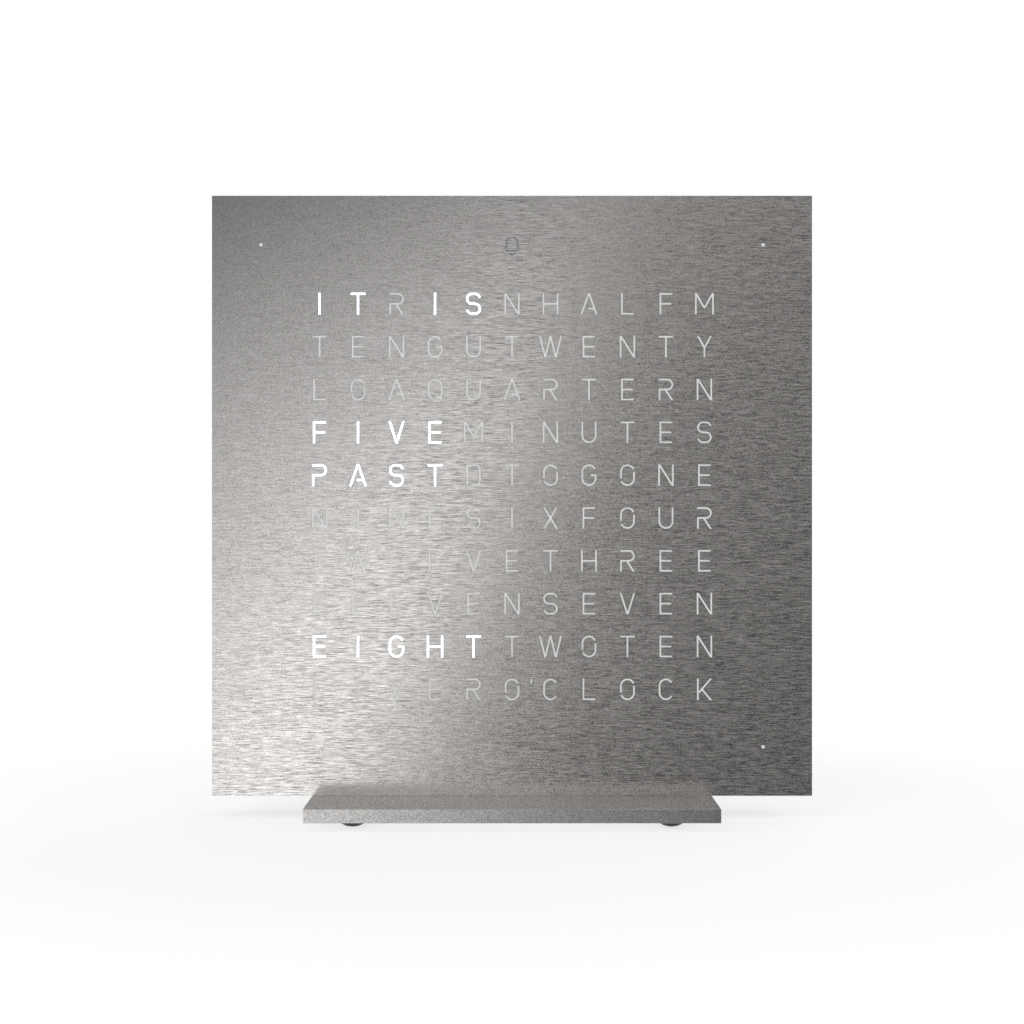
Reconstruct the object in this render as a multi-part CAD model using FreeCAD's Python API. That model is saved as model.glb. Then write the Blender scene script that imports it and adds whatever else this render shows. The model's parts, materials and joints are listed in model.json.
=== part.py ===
import FreeCAD
import Part
import math
import os

from FreeCAD import Vector

# Word clock: a square steel letter plate that magnets hold on a shallow housing, which
# stands on a metal base plate with four rubber feet.  Light from one LED behind each
# letter shines through the words that give the time.
#
# Millimetres.  +Z is up, the letters face -Y, and the origin is on the table under the
# middle of the base plate.  Places on the clock's face are given as (u, v): u to the
# right and v up from the centre of the letter plate.  Depths are plain Y values.

# ---------------------------------------------------------------- overall sizes
PLATE_SIZE = 135.0              # side of the square letter plate
PLATE_THICKNESS = 1.5
BASE_WIDTH = 90.0
BASE_DEPTH = 56.6
BASE_THICKNESS = 3.0
BASE_EDGE_BREAK = 0.05
PLATE_GAP = 0.05                # the letter plate all but rests on the base plate

FOOT_HEIGHT = 2.1
FOOT_RADIUS = 4.0
FOOT_FLAT_RADIUS = 1.0          # worn flat under each domed foot
FOOT_INSET_X = 10.0             # foot centre in from the base plate's side
FOOT_INSET_Y = 9.6              # foot centre in from its front and rear edge

# ---------------------------------------------------------------- letter field
# Each row from left to right, as letters and the group that they light up with.  The
# apostrophe has no cell of its own: it stands between its two neighbours.
LETTER_ROWS = (
    (("IT", "it_is"), ("R", "spare"), ("IS", "it_is"), ("N", "spare"), ("HALF", "half"), ("M", "spare")),
    (("TEN", "ten_minutes"), ("GU", "spare"), ("TWENTY", "twenty")),
    (("LO", "spare"), ("AQUARTER", "a_quarter"), ("N", "spare")),
    (("FIVE", "five_minutes"), ("MINUTES", "minutes")),
    (("PAST", "past"), ("D", "spare"), ("TO", "to"), ("G", "spare"), ("ONE", "one")),
    (("NINE", "nine"), ("SIX", "six"), ("FOUR", "four")),
    (("TWELVE", "twelve"), ("THREE", "three")),
    (("ELEVEN", "eleven"), ("SEVEN", "seven")),
    (("EIGHT", "eight"), ("TWO", "two"), ("TEN", "ten_oclock")),
    (("FIVE", "five_oclock"), ("R", "spare"), ("O'CLOCK", "oclock")),
)
FIELD_MARGIN_SIDE = 24.2        # plate's side edge to the middle of the nearest letters
FIELD_MARGIN_TOP = 24.3         # its upper edge to the middle of the first row
FIELD_MARGIN_BOTTOM = 23.95     # its lower edge to the middle of the last row
CAP_HEIGHT = 4.9
STROKE = 0.42
APOSTROPHE_HEIGHT = 1.1
STENCIL_GAP = 0.55              # bridge of steel that holds the inside of a round letter
LETTER_WIDTHS = {
    "A": 3.9, "C": 3.3, "D": 3.3, "E": 2.9, "F": 2.9, "G": 3.4, "H": 3.6, "I": STROKE,
    "K": 3.4, "L": 2.9, "M": 4.3, "N": 3.5, "O": 3.35, "P": 3.3, "Q": 3.35, "R": 3.3,
    "S": 3.3, "T": 3.3, "U": 3.4, "V": 3.5, "W": 5.2, "X": 3.3, "Y": 3.4,
}
OPEN_ANGLE = 28.0               # where the ends of a C or G stop, from level
S_OPEN_ANGLE = 14.0
Q_TAIL_ANGLE = 50.0             # where a Q's bowl stops for its tail, below level
# Shares of the cap height, from the foot of the letter:
A_BAR_RISE = 0.28
K_ARM_RISE = 0.34
K_LEG_RISE = 0.5
M_DIP_RISE = 0.3
Q_TAIL_RISE = 0.22
# Shares of the letter's width:
A_BAR_START = 0.07              # left of the middle
A_BAR_END = 0.31                # right of the middle
D_CORNER = 0.34                 # radius of its corners
G_BAR_START = 0.1               # right of the middle
K_LEG_START = 0.28              # from the stem
Q_TAIL_START = 0.05             # right of the middle
R_LEG_START = 0.35              # from the stem

MINUTE_DOT_MARGIN = 11.0        # corner dots in from both edges of the plate
MINUTE_DOT_RADIUS = 0.42
ALARM_SIGN_MARGIN = 11.4        # centre of the bell sign below the plate's upper edge
ALARM_SIGN_WIDTH = 3.6
ALARM_SIGN_HEIGHT = 4.1
ALARM_SIGN_STROKE = 0.3
ALARM_SIGN_GAP = 0.39           # between the tops of the bell's two sides
BELL_CLAPPER_RADIUS = 0.5
BELL_CLAPPER_DROP = 0.45        # clapper below the middle of the rim
BELL_SHOULDER_RADIUS = 1.0      # bend at the top of each side
BELL_FLARE_RADIUS = 0.66        # outward bend above the rim
BELL_FLARE_ANGLE = 70.0
BELL_RIM_CLEARANCE = 0.51       # middle of the rim to the end of a side
BELL_RIM_INSET = 0.25           # rim's ends in from the full width
FILL_RECESS = 0.1               # fillings lie this far behind the plate's front
FILL_CLEARANCE = 0.02           # each side, between a filling and its cut-out

# ---------------------------------------------------------------- light box
DIFFUSER_THICKNESS = 0.4
DIFFUSER_MARGIN = 2.5           # in from the housing's cavity
DIFFUSER_CLEARANCE = 0.1        # diffuser to light baffle
BAFFLE_DEPTH = 5.0
WELL_WALL = 0.8                 # wall between two letters' light wells
DOT_WELL_RADIUS = 3.0
ALARM_WELL_RADIUS = 3.5
BOARD_THICKNESS = 1.2
LED_WIDTH = 2.0
LED_HEIGHT = 1.2
LED_THICKNESS = 0.7
DRIVER_CHIP_SIZE = 6.0
DRIVER_CHIP_THICKNESS = 0.9
DRIVER_CHIP_U = 30.0
DRIVER_CHIP_V = 26.0

MAGNET_INSET = 8.0              # from the housing's side wall
MAGNET_V = 40.0
MAGNET_RADIUS = 4.0
MAGNET_THICKNESS = 3.0
MAGNET_POCKET_CLEARANCE = 0.05
KEEPER_RADIUS = 3.8
KEEPER_CLEARANCE = 0.4          # keeper disc to the hole in the diffuser
KEEPER_MAGNET_GAP = 0.1
MAGNET_SEAT_DEPTH = 3.5         # magnet pocket's floor behind the baffle's front

# ---------------------------------------------------------------- housing
HOUSING_INSET = 3.0             # the letter plate overhangs the housing by this
HOUSING_WALL = 2.0
HOUSING_CORNER_RADIUS = 3.0
HOUSING_EDGE_FILLET = 0.8
ASSEMBLY_CLEARANCE = 0.2        # boards and baffle inside the housing
REAR_WALL = 2.0
REAR_COVER_CLEARANCE = 0.12
REAR_COVER_CHAMFER = 0.25

CORNER_BOSS_INSET = 5.0         # from both walls
CORNER_BOSS_RADIUS = 3.4
SIDE_BOSS_INSET = 5.0           # from the side wall
SIDE_BOSS_V = 14.0
SIDE_BOSS_RADIUS = 3.2
SIDE_BOSS_LENGTH = 5.3
BOSS_WEB_THICKNESS = 2.4

# ---------------------------------------------------------------- screws
THREAD_CLEARANCE = 0.05
SHANK_CLEARANCE = 0.2
HEAD_CLEARANCE = 0.2
PILOT_EXTRA_DEPTH = 0.5         # pilot hole beyond the screw's tip
HEAD_SINK = 0.1                 # countersunk heads lie this far below their face

SMALL_SCREW_RADIUS = 1.0        # M2, pan head
SMALL_HEAD_RADIUS = 1.9
SMALL_HEAD_HEIGHT = 1.3
SMALL_SCREW_HEX = 1.3
SMALL_HEX_DEPTH = 0.8
FRONT_SCREW_LENGTH = 8.0
FRONT_SCREW_HEAD_DEPTH = 2.0    # head's seat behind the baffle's front
BOARD_SCREW_LENGTH = 4.0

REAR_SCREW_RADIUS = 1.25        # M2.5, countersunk
REAR_SCREW_HEAD_RADIUS = 2.35
REAR_SCREW_LENGTH = 6.0
REAR_SCREW_HEX = 1.5
REAR_HEX_DEPTH = 1.3

BASE_SCREW_RADIUS = 1.5         # M3, countersunk
BASE_SCREW_HEAD_RADIUS = 2.75
BASE_SCREW_LENGTH = 11.0
BASE_SCREW_HEX = 2.0
BASE_HEX_DEPTH = 1.5
BASE_SCREW_X = 20.0

INSERT_RADIUS = 2.1
INSERT_LENGTH = 4.0
INSERT_CLEARANCE = 0.02
INSERT_BOSS_WALL = 1.1
INSERT_BOSS_HEIGHT = 5.0

SPACER_WIDTH = 60.0
SPACER_FRONT_INSET = 3.0        # behind the letter plate
SPACER_REAR_INSET = 1.5         # in front of the rear face
SPACER_CORNER_RADIUS = 2.0

# ---------------------------------------------------------------- control board and rear
BOARD_GAP = 3.2                 # LED board to control board, which their connector fills
CONTROL_SIDE_MARGIN = 12.5      # control board in from the side walls
CONTROL_LOWER_MARGIN = 14.5     # and above the lower wall
CONTROL_HEIGHT = 38.0
CONTROL_CORNER_RADIUS = 1.5
STANDOFF_LENGTH = 3.4
STANDOFF_RADIUS = 2.5
STANDOFF_INSET = 4.0            # from both edges of the control board
STANDOFF_PILOT_DEPTH = 3.2

CONNECTOR_WIDTH = 16.0
CONNECTOR_HEIGHT = 4.0
CONNECTOR_INSET = 20.0          # from the control board's right edge
CONNECTOR_RISE = 7.0            # above the control board's middle, as other rises here
CONNECTOR_SPLIT = 1.7           # height of the half that sits on the LED board
CONNECTOR_LIP = 0.6
MAIN_CHIP_SIZE = 9.0
CLOCK_CHIP_SIZE = 5.0
CONTROL_CHIP_THICKNESS = 1.1
MAIN_CHIP_U = -4.0
CLOCK_CHIP_U = -20.0
CONTROL_CHIP_RISE = 7.0

CELL_RADIUS = 6.25              # coin cell
CELL_THICKNESS = 2.0
HOLDER_SIZE = 15.0
HOLDER_HEIGHT = 2.8
HOLDER_FLOOR = 0.5
HOLDER_CLEARANCE = 0.15
HOLDER_INSET = 18.0             # from the control board's left edge
HOLDER_RISE = -3.0

SPEAKER_RADIUS = 10.0
SPEAKER_RIM_THICKNESS = 1.2
SPEAKER_MAGNET_RADIUS = 6.0
SPEAKER_THICKNESS = 4.2
SPEAKER_V = 30.0
SPEAKER_RING_WALL = 1.4
SPEAKER_RING_HEIGHT = 3.0
SPEAKER_CLEARANCE = 0.15
GRILLE_HOLE_RADIUS = 0.7
GRILLE_PITCH = 2.6
GRILLE_RINGS = 2                # rings of holes round the middle one

SOCKET_WIDTH = 9.0              # power socket, a small flat one
SOCKET_HEIGHT = 3.3
SOCKET_WALL = 0.35
SOCKET_LENGTH = 7.0
SOCKET_FLOOR = 0.8
SOCKET_RISE = -14.0
SOCKET_RECESS = 0.3             # its mouth behind the rear face
SOCKET_CLEARANCE = 0.25         # round it in the rear cover and the board
TONGUE_WIDTH = 6.7
TONGUE_THICKNESS = 0.7
TONGUE_RECESS = 0.8             # the tongue's tip behind the socket's mouth

BUTTONS = {"set": -14.0, "alarm": 0.0, "light": 14.0}     # name and place along u
BUTTON_RISE = 7.0
BUTTON_RADIUS = 3.0
BUTTON_PROUD = 0.7
BUTTON_TRAVEL = 0.5
BUTTON_HOLE_CLEARANCE = 0.2
BUTTON_EDGE_FILLET = 0.3
BUTTON_DISH_RADIUS = 9.0
BUTTON_DISH_DEPTH = 0.25
BUTTON_FLANGE_WIDTH = 0.8
BUTTON_FLANGE_THICKNESS = 0.6
BUTTON_FLANGE_GAP = 0.05
BUTTON_STEM_RADIUS = 1.3
BUTTON_RECESS_WIDTH = 1.2       # shallow dish in the rear cover round each button
BUTTON_RECESS_DEPTH = 0.4
SWITCH_SIZE = 4.5
SWITCH_HEIGHT = 1.5
SWITCH_FLOOR = 0.2
PLUNGER_RADIUS = 1.1
PLUNGER_CLEARANCE = 0.1
PLUNGER_PROUD = 0.6             # above the switch's case at rest
PLUNGER_STOP = 0.1              # left under a plunger that is pressed right in

# ---------------------------------------------------------------- places that follow
BASE_BOTTOM = FOOT_HEIGHT
BASE_TOP = BASE_BOTTOM + BASE_THICKNESS
CENTRE_Z = BASE_TOP + PLATE_GAP + PLATE_SIZE / 2

# The layers from front to rear, centred over the base plate:
BODY_DEPTH = (
    PLATE_THICKNESS + DIFFUSER_THICKNESS + DIFFUSER_CLEARANCE + BAFFLE_DEPTH
    + BOARD_THICKNESS + BOARD_GAP + BOARD_THICKNESS + STANDOFF_LENGTH + REAR_WALL
)
PLATE_FRONT = -BODY_DEPTH / 2
PLATE_BACK = PLATE_FRONT + PLATE_THICKNESS
DIFFUSER_BACK = PLATE_BACK + DIFFUSER_THICKNESS
BAFFLE_FRONT = DIFFUSER_BACK + DIFFUSER_CLEARANCE
BAFFLE_BACK = BAFFLE_FRONT + BAFFLE_DEPTH
LED_BOARD_BACK = BAFFLE_BACK + BOARD_THICKNESS
CONTROL_FRONT = LED_BOARD_BACK + BOARD_GAP
CONTROL_BACK = CONTROL_FRONT + BOARD_THICKNESS
REAR_INNER = CONTROL_BACK + STANDOFF_LENGTH
REAR_FACE = REAR_INNER + REAR_WALL
MAGNET_BACK = BAFFLE_FRONT + MAGNET_SEAT_DEPTH
MAGNET_FRONT = MAGNET_BACK - MAGNET_THICKNESS
KEEPER_BACK = MAGNET_FRONT - KEEPER_MAGNET_GAP
FRONT_SCREW_SEAT = BAFFLE_FRONT + FRONT_SCREW_HEAD_DEPTH

HOUSING_HALF = PLATE_SIZE / 2 - HOUSING_INSET
CAVITY_HALF = HOUSING_HALF - HOUSING_WALL
HOUSING_BOTTOM = CENTRE_Z - HOUSING_HALF
INSERTED_HALF = CAVITY_HALF - ASSEMBLY_CLEARANCE
REAR_COVER_HALF = CAVITY_HALF - REAR_COVER_CLEARANCE
SWITCH_TOP = CONTROL_BACK + SWITCH_HEIGHT
PLUNGER_TIP = SWITCH_TOP + PLUNGER_PROUD
BASE_SCREW_Y = (LED_BOARD_BACK + REAR_INNER) / 2    # clear of the LED board and rear cover

ROW_COUNT = len(LETTER_ROWS)
COLUMN_COUNT = sum(len(letters) for letters, group in LETTER_ROWS[0])
FIRST_ROW_V = PLATE_SIZE / 2 - FIELD_MARGIN_TOP
LAST_ROW_V = FIELD_MARGIN_BOTTOM - PLATE_SIZE / 2
LETTER_PITCH_U = (PLATE_SIZE - 2 * FIELD_MARGIN_SIDE) / (COLUMN_COUNT - 1)
LETTER_PITCH_V = (FIRST_ROW_V - LAST_ROW_V) / (ROW_COUNT - 1)
MINUTE_DOT_OFFSET = PLATE_SIZE / 2 - MINUTE_DOT_MARGIN
ALARM_SIGN_V = PLATE_SIZE / 2 - ALARM_SIGN_MARGIN
MAGNET_U = CAVITY_HALF - MAGNET_INSET
CORNER_BOSS_OFFSET = CAVITY_HALF - CORNER_BOSS_INSET
SIDE_BOSS_U = CAVITY_HALF - SIDE_BOSS_INSET

CONTROL_WIDTH = 2 * (CAVITY_HALF - CONTROL_SIDE_MARGIN)
CONTROL_V = CONTROL_LOWER_MARGIN + CONTROL_HEIGHT / 2 - CAVITY_HALF
STANDOFF_U = CONTROL_WIDTH / 2 - STANDOFF_INSET
STANDOFF_SPREAD_V = CONTROL_HEIGHT / 2 - STANDOFF_INSET
CONNECTOR_U = CONTROL_WIDTH / 2 - CONNECTOR_INSET
CONNECTOR_V = CONTROL_V + CONNECTOR_RISE
CONTROL_CHIP_V = CONTROL_V + CONTROL_CHIP_RISE
HOLDER_U = HOLDER_INSET - CONTROL_WIDTH / 2
HOLDER_V = CONTROL_V + HOLDER_RISE
SOCKET_V = CONTROL_V + SOCKET_RISE
BUTTON_V = CONTROL_V + BUTTON_RISE


# ---------------------------------------------------------------- plain shapes
def point(u, v, y=0.0):
    return Vector(u, y, CENTRE_Z + v)


def both_signs(u, v):
    """The four places (+-u, +-v)."""
    return [(su * u, sv * v) for su in (-1, 1) for sv in (-1, 1)]


def slab(width, height, front, back, u=0.0, v=0.0):
    """Upright box centred on (u, v), between two depths."""
    return Part.makeBox(width, back - front, height, point(u - width / 2, v - height / 2, front))


def disc(radius, front, back, u=0.0, v=0.0):
    """Cylinder along Y."""
    return Part.makeCylinder(radius, back - front, point(u, v, front), Vector(0, 1, 0))


def cone(radius_front, radius_back, front, back, u=0.0, v=0.0):
    return Part.makeCone(radius_front, radius_back, back - front, point(u, v, front), Vector(0, 1, 0))


def rounded_slab(width, height, radius, front, back, u=0.0, v=0.0):
    """Upright box whose four edges along Y are rounded."""
    box = slab(width, height, front, back, u, v)
    along_y = [edge for edge in box.Edges if abs(edge.tangentAt(edge.FirstParameter).y) > 0.5]
    return box.makeFillet(radius, along_y)


def hex_prism(size, centre, inward, depth):
    """Six-sided prism, size across its flats, from a point along a unit direction."""
    reach = size / 2 / math.cos(math.radians(30))
    across = Vector(1, 0, 0)
    upward = inward.cross(across)
    corners = []
    for angle in range(0, 360, 60):
        turn = math.radians(angle)
        corners.append(centre + across * (reach * math.cos(turn)) + upward * (reach * math.sin(turn)))
    return Part.Face(Part.makePolygon(corners + corners[:1])).extrude(inward * depth)


def flat_tube(width, height, front, back, v):
    """Solid along Y with fully rounded ends, on the clock's middle line."""
    radius = height / 2
    run = width / 2 - radius
    lower = [point(side * run, v - radius, front) for side in (-1, 1)]
    upper = [point(side * run, v + radius, front) for side in (-1, 1)]
    ends = [point(side * (run + radius), v, front) for side in (-1, 1)]
    curves = [
        Part.LineSegment(lower[0], lower[1]),
        Part.Arc(lower[1], ends[1], upper[1]),
        Part.LineSegment(upper[1], upper[0]),
        Part.Arc(upper[0], ends[0], lower[0]),
    ]
    face = Part.Face(Part.Wire([curve.toShape() for curve in curves]))
    return face.extrude(Vector(0, back - front, 0))


def flat_face(outline):
    """Flat face inside a closed outline, always facing the rear."""
    face = Part.Face(outline)
    if face.normalAt(0, 0).y < 0:
        face.reverse()
    return face


def rectangle(width, height, u=0.0, v=0.0):
    """Closed upright outline centred on (u, v)."""
    corners = [
        point(u + side * width / 2, v + end * height / 2)
        for side, end in ((-1, -1), (1, -1), (1, 1), (-1, 1))
    ]
    return Part.makePolygon(corners + corners[:1])


def pierced_slab(outline, hole_faces, front, back):
    """Slab between two depths, inside the outline and outside every hole."""
    rim = flat_face(outline).OuterWire
    holes = [face.OuterWire.reversed() for face in hole_faces]
    face = Part.Face([rim] + holes)
    face.translate(Vector(0, front, 0))
    return face.extrude(Vector(0, back - front, 0))


def edges_at(shape, depth):
    """The edges of a shape that lie wholly at one depth."""
    near = 1e-6
    return [
        edge for edge in shape.Edges
        if abs(edge.BoundBox.YMin - depth) < near and abs(edge.BoundBox.YMax - depth) < near
    ]


def moved(shape, u, v, y=0.0):
    copy = shape.copy()
    copy.translate(Vector(u, y, v))
    return copy


def around(centre, radius, angle):
    """Point on an upright circle, at an angle in radians from +X towards +Z."""
    return centre + Vector(radius * math.cos(angle), 0, radius * math.sin(angle))


# ---------------------------------------------------------------- strokes of the letters
# A letter is drawn about its own centre, x to the right and y up, as strokes of even
# width that are fused into flat faces.  The same drawing made a little thinner, by
# "shrink" on every side, is the filling that sits in the cut-out.
def ribbon(start, heading, steps, width, shrink):
    """A stroke along a path that turns smoothly.

    heading is in degrees from +x.  Each step is (length,) for a straight run or
    (radius, angle) for an arc, where a positive angle turns to the left.
    """
    half = width / 2 - shrink
    x, y = start
    angle = math.radians(heading)
    left_side = []
    right_side = []
    for number, step in enumerate(steps):
        trim_start = shrink if number == 0 else 0.0
        trim_end = shrink if number == len(steps) - 1 else 0.0
        along = Vector(math.cos(angle), 0, math.sin(angle))
        across = Vector(-along.z, 0, along.x)
        here = Vector(x, 0, y)
        if len(step) == 1:
            length = step[0]
            for side, where in ((left_side, half), (right_side, -half)):
                first = here + along * trim_start + across * where
                last = here + along * (length - trim_end) + across * where
                side.append(Part.LineSegment(first, last))
            here = here + along * length
        else:
            radius, turn = step
            hand = math.copysign(1.0, turn)
            centre = here + across * (radius * hand)
            from_centre = math.atan2(here.z - centre.z, here.x - centre.x)
            first_angle = from_centre + hand * trim_start / radius
            sweep = math.radians(turn) - hand * (trim_start + trim_end) / radius
            for side, where in ((left_side, half), (right_side, -half)):
                on_arc = [
                    around(centre, radius - hand * where, first_angle + share * sweep)
                    for share in (0, 0.5, 1)
                ]
                side.append(Part.Arc(*on_arc))
            angle += math.radians(turn)
            here = around(centre, radius, from_centre + math.radians(turn))
        x, y = here.x, here.z
    outline = right_side + [Part.LineSegment(right_side[-1].EndPoint, left_side[-1].EndPoint)]
    outline += reversed(left_side)
    outline.append(Part.LineSegment(left_side[0].StartPoint, right_side[0].StartPoint))
    return flat_face(Part.Wire([curve.toShape() for curve in outline]))


def straight(start, end, width, shrink):
    """A stroke with square ends."""
    run = math.dist(start, end)
    heading = math.degrees(math.atan2(end[1] - start[1], end[0] - start[0]))
    return ribbon(start, heading, [(run,)], width, shrink)


def slanted(start, end, width, shrink):
    """A stroke whose ends are cut level."""
    run_x = end[0] - start[0]
    run_y = end[1] - start[1]
    half = (width / 2 - shrink) * math.hypot(run_x, run_y) / run_y
    level = math.copysign(shrink, run_y)
    shift = run_x / run_y * level
    corners = [
        Vector(start[0] + shift - half, 0, start[1] + level),
        Vector(start[0] + shift + half, 0, start[1] + level),
        Vector(end[0] - shift + half, 0, end[1] - level),
        Vector(end[0] - shift - half, 0, end[1] - level),
    ]
    return flat_face(Part.makePolygon(corners + corners[:1]))


def letter_strokes(letter, shrink):
    """The strokes of one capital letter, before they are fused."""
    width = LETTER_WIDTHS[letter]
    half_stroke = STROKE / 2
    high = CAP_HEIGHT / 2
    low = -high
    top = high - half_stroke
    bottom = low + half_stroke
    right = width / 2 - half_stroke
    left = -right
    bowl = right                            # radius of a full-width round end
    side = 2 * (top - bowl)                 # straight side between two round ends
    round_top = top - bowl
    small = (top - bottom) / 4              # radius of the two bends of an S
    flat = 2 * (right - small)              # its level runs
    lobe = top / 2                          # radius of the bowl of a P or R

    def stem(x, from_y=low, to_y=high):
        return straight((x, from_y), (x, to_y), STROKE, shrink)

    def bar(y, from_x=left - half_stroke, to_x=right + half_stroke):
        return straight((from_x, y), (to_x, y), STROKE, shrink)

    def leg(from_x, from_y, to_x, to_y):
        return slanted((from_x, from_y), (to_x, to_y), STROKE, shrink)

    def curve(x, y, heading, *steps):
        return ribbon((x, y), heading, steps, STROKE, shrink)

    def bend_start(angle, centre_x, centre_y, radius):
        """Point on a bend, and the heading there when it is followed to the left."""
        turn = math.radians(angle)
        return centre_x + radius * math.cos(turn), centre_y + radius * math.sin(turn), angle + 90

    def risen(share):
        """Height above the letter's foot, as a share of the cap height."""
        return low + CAP_HEIGHT * share

    if letter == "A":
        return [leg(left, low, 0, high), leg(right, low, 0, high),
                bar(risen(A_BAR_RISE), -A_BAR_START * width, A_BAR_END * width)]
    if letter == "C":
        return [curve(*bend_start(OPEN_ANGLE, 0, round_top, bowl),
                      (bowl, 180 - OPEN_ANGLE), (side,), (bowl, 180 - OPEN_ANGLE))]
    if letter == "D":
        corner = D_CORNER * width
        reach = right - left - corner
        return [stem(left),
                curve(left, top, 0, (reach,), (corner, -90), (top - bottom - 2 * corner,),
                      (corner, -90), (reach - STENCIL_GAP - half_stroke,))]
    if letter == "E":
        return [stem(left), bar(top), bar(0, to_x=right), bar(bottom)]
    if letter == "F":
        return [stem(left), bar(top), bar(0, to_x=right)]
    if letter == "G":
        return [curve(*bend_start(OPEN_ANGLE, 0, round_top, bowl),
                      (bowl, 180 - OPEN_ANGLE), (side,), (bowl, 180), (side / 2,)),
                bar(0, G_BAR_START * width)]
    if letter == "H":
        return [stem(left), stem(right), bar(0)]
    if letter == "I":
        return [stem(0)]
    if letter == "K":
        return [stem(left), leg(left + half_stroke, risen(K_ARM_RISE), right, high),
                leg(left + K_LEG_START * width, risen(K_LEG_RISE), right, low)]
    if letter == "L":
        return [stem(left), bar(bottom)]
    if letter == "M":
        dip = risen(M_DIP_RISE)
        return [stem(left), stem(right), leg(left, high, 0, dip), leg(right, high, 0, dip)]
    if letter == "N":
        return [stem(left), stem(right), leg(left, high, right, low)]
    if letter == "O":
        half_ring = [(side,), (bowl, -180 + math.degrees(STENCIL_GAP / bowl))]
        return [curve(left, -side / 2, 90, *half_ring), curve(right, side / 2, -90, *half_ring)]
    if letter in "PR":
        reach = right - left - lobe
        strokes = [stem(left, low, half_stroke),
                   curve(left - half_stroke, top, 0, (reach + half_stroke,), (lobe, -180),
                         (reach + half_stroke,))]
        if letter == "R":
            strokes.append(leg(left + R_LEG_START * width, half_stroke, right, low))
        return strokes
    if letter == "Q":
        last_turn = 90 - math.degrees(STENCIL_GAP / bowl) / 2
        return [curve(*bend_start(-Q_TAIL_ANGLE, 0, -round_top, bowl),
                      (bowl, Q_TAIL_ANGLE), (side,), (bowl, 180), (side,), (bowl, last_turn)),
                straight((Q_TAIL_START * width, risen(Q_TAIL_RISE)),
                         (right + half_stroke, bottom), STROKE, shrink)]
    if letter == "S":
        return [curve(*bend_start(S_OPEN_ANGLE, flat / 2, top - small, small),
                      (small, 90 - S_OPEN_ANGLE), (flat,), (small, 180), (flat,), (small, -180),
                      (flat,), (small, S_OPEN_ANGLE - 90))]
    if letter == "T":
        return [stem(0), bar(top)]
    if letter == "U":
        return [curve(left, high, -90, (CAP_HEIGHT - width / 2,), (bowl, 180),
                      (CAP_HEIGHT - width / 2,))]
    if letter == "V":
        return [leg(left, high, 0, low), leg(right, high, 0, low)]
    if letter == "W":
        foot = right / 2
        return [leg(left, high, -foot, low), leg(0, high, -foot, low),
                leg(0, high, foot, low), leg(right, high, foot, low)]
    if letter == "X":
        return [leg(left, low, right, high), leg(left, high, right, low)]
    if letter == "Y":
        return [leg(left, high, 0, -half_stroke), leg(right, high, 0, -half_stroke), stem(0, low, 0)]
    raise ValueError("no drawing for the letter " + letter)


def fused_faces(strokes):
    """Flat faces of the strokes, merged wherever they meet."""
    if len(strokes) == 1:
        return strokes
    return strokes[0].fuse(strokes[1:]).removeSplitter().Faces


def cells():
    """Every cell: (u, v), its letter, its group, and whether an apostrophe follows it."""
    found = []
    for row, words in enumerate(LETTER_ROWS):
        v = FIRST_ROW_V - row * LETTER_PITCH_V
        column = 0
        for letters, group in words:
            for place, letter in enumerate(letters):
                if letter == "'":
                    continue
                u = (column - (COLUMN_COUNT - 1) / 2) * LETTER_PITCH_U
                followed = letters[place + 1:place + 2] == "'"
                found.append((u, v, letter, group, followed))
                column += 1
    return found


def letter_drawings(shrink):
    """Every different letter once, as a list of flat faces about its own centre."""
    letters = sorted({letter for u, v, letter, group, followed in cells()})
    return {letter: fused_faces(letter_strokes(letter, shrink)) for letter in letters}


def grouped_faces(shrink):
    """Flat faces of all the letters in place on the clock's face, by group."""
    drawings = letter_drawings(shrink)
    groups = {}
    for u, v, letter, group, followed in cells():
        faces = groups.setdefault(group, [])
        faces += [moved(face, u, CENTRE_Z + v) for face in drawings[letter]]
        if followed:
            middle = u + LETTER_PITCH_U / 2
            upper = CENTRE_Z + v + CAP_HEIGHT / 2
            faces.append(straight((middle, upper - APOSTROPHE_HEIGHT), (middle, upper), STROKE, shrink))
    return groups


def alarm_sign_faces(shrink):
    """A plain bell: two sides that nearly meet at the top, a rim and a clapper."""
    stroke = ALARM_SIGN_STROKE
    top = (ALARM_SIGN_HEIGHT - stroke) / 2
    clapper = BELL_CLAPPER_RADIUS
    rim = BELL_CLAPPER_DROP + clapper - (ALARM_SIGN_HEIGHT - stroke) / 2
    rim_reach = ALARM_SIGN_WIDTH / 2 - BELL_RIM_INSET
    side = top - rim - BELL_RIM_CLEARANCE - BELL_SHOULDER_RADIUS - BELL_FLARE_RADIUS
    faces = []
    for hand in (-1, 1):
        steps = [
            (BELL_SHOULDER_RADIUS, -90 * hand), (side,), (BELL_FLARE_RADIUS, BELL_FLARE_ANGLE * hand),
        ]
        start = (hand * ALARM_SIGN_GAP / 2, top)
        faces.append(ribbon(start, 90 - 90 * hand, steps, stroke, shrink))
    faces.append(straight((-rim_reach, rim), (rim_reach, rim), stroke, shrink))
    faces.append(ribbon((-clapper, rim - BELL_CLAPPER_DROP), -90, [(clapper, 180)], stroke, shrink))
    return [moved(face, 0, CENTRE_Z + ALARM_SIGN_V) for face in faces]


def dot_faces(shrink):
    radius = MINUTE_DOT_RADIUS - shrink
    circles = [
        Part.makeCircle(radius, point(u, v), Vector(0, 1, 0))
        for u, v in both_signs(MINUTE_DOT_OFFSET, MINUTE_DOT_OFFSET)
    ]
    return [flat_face(Part.Wire(circle)) for circle in circles]


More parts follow.
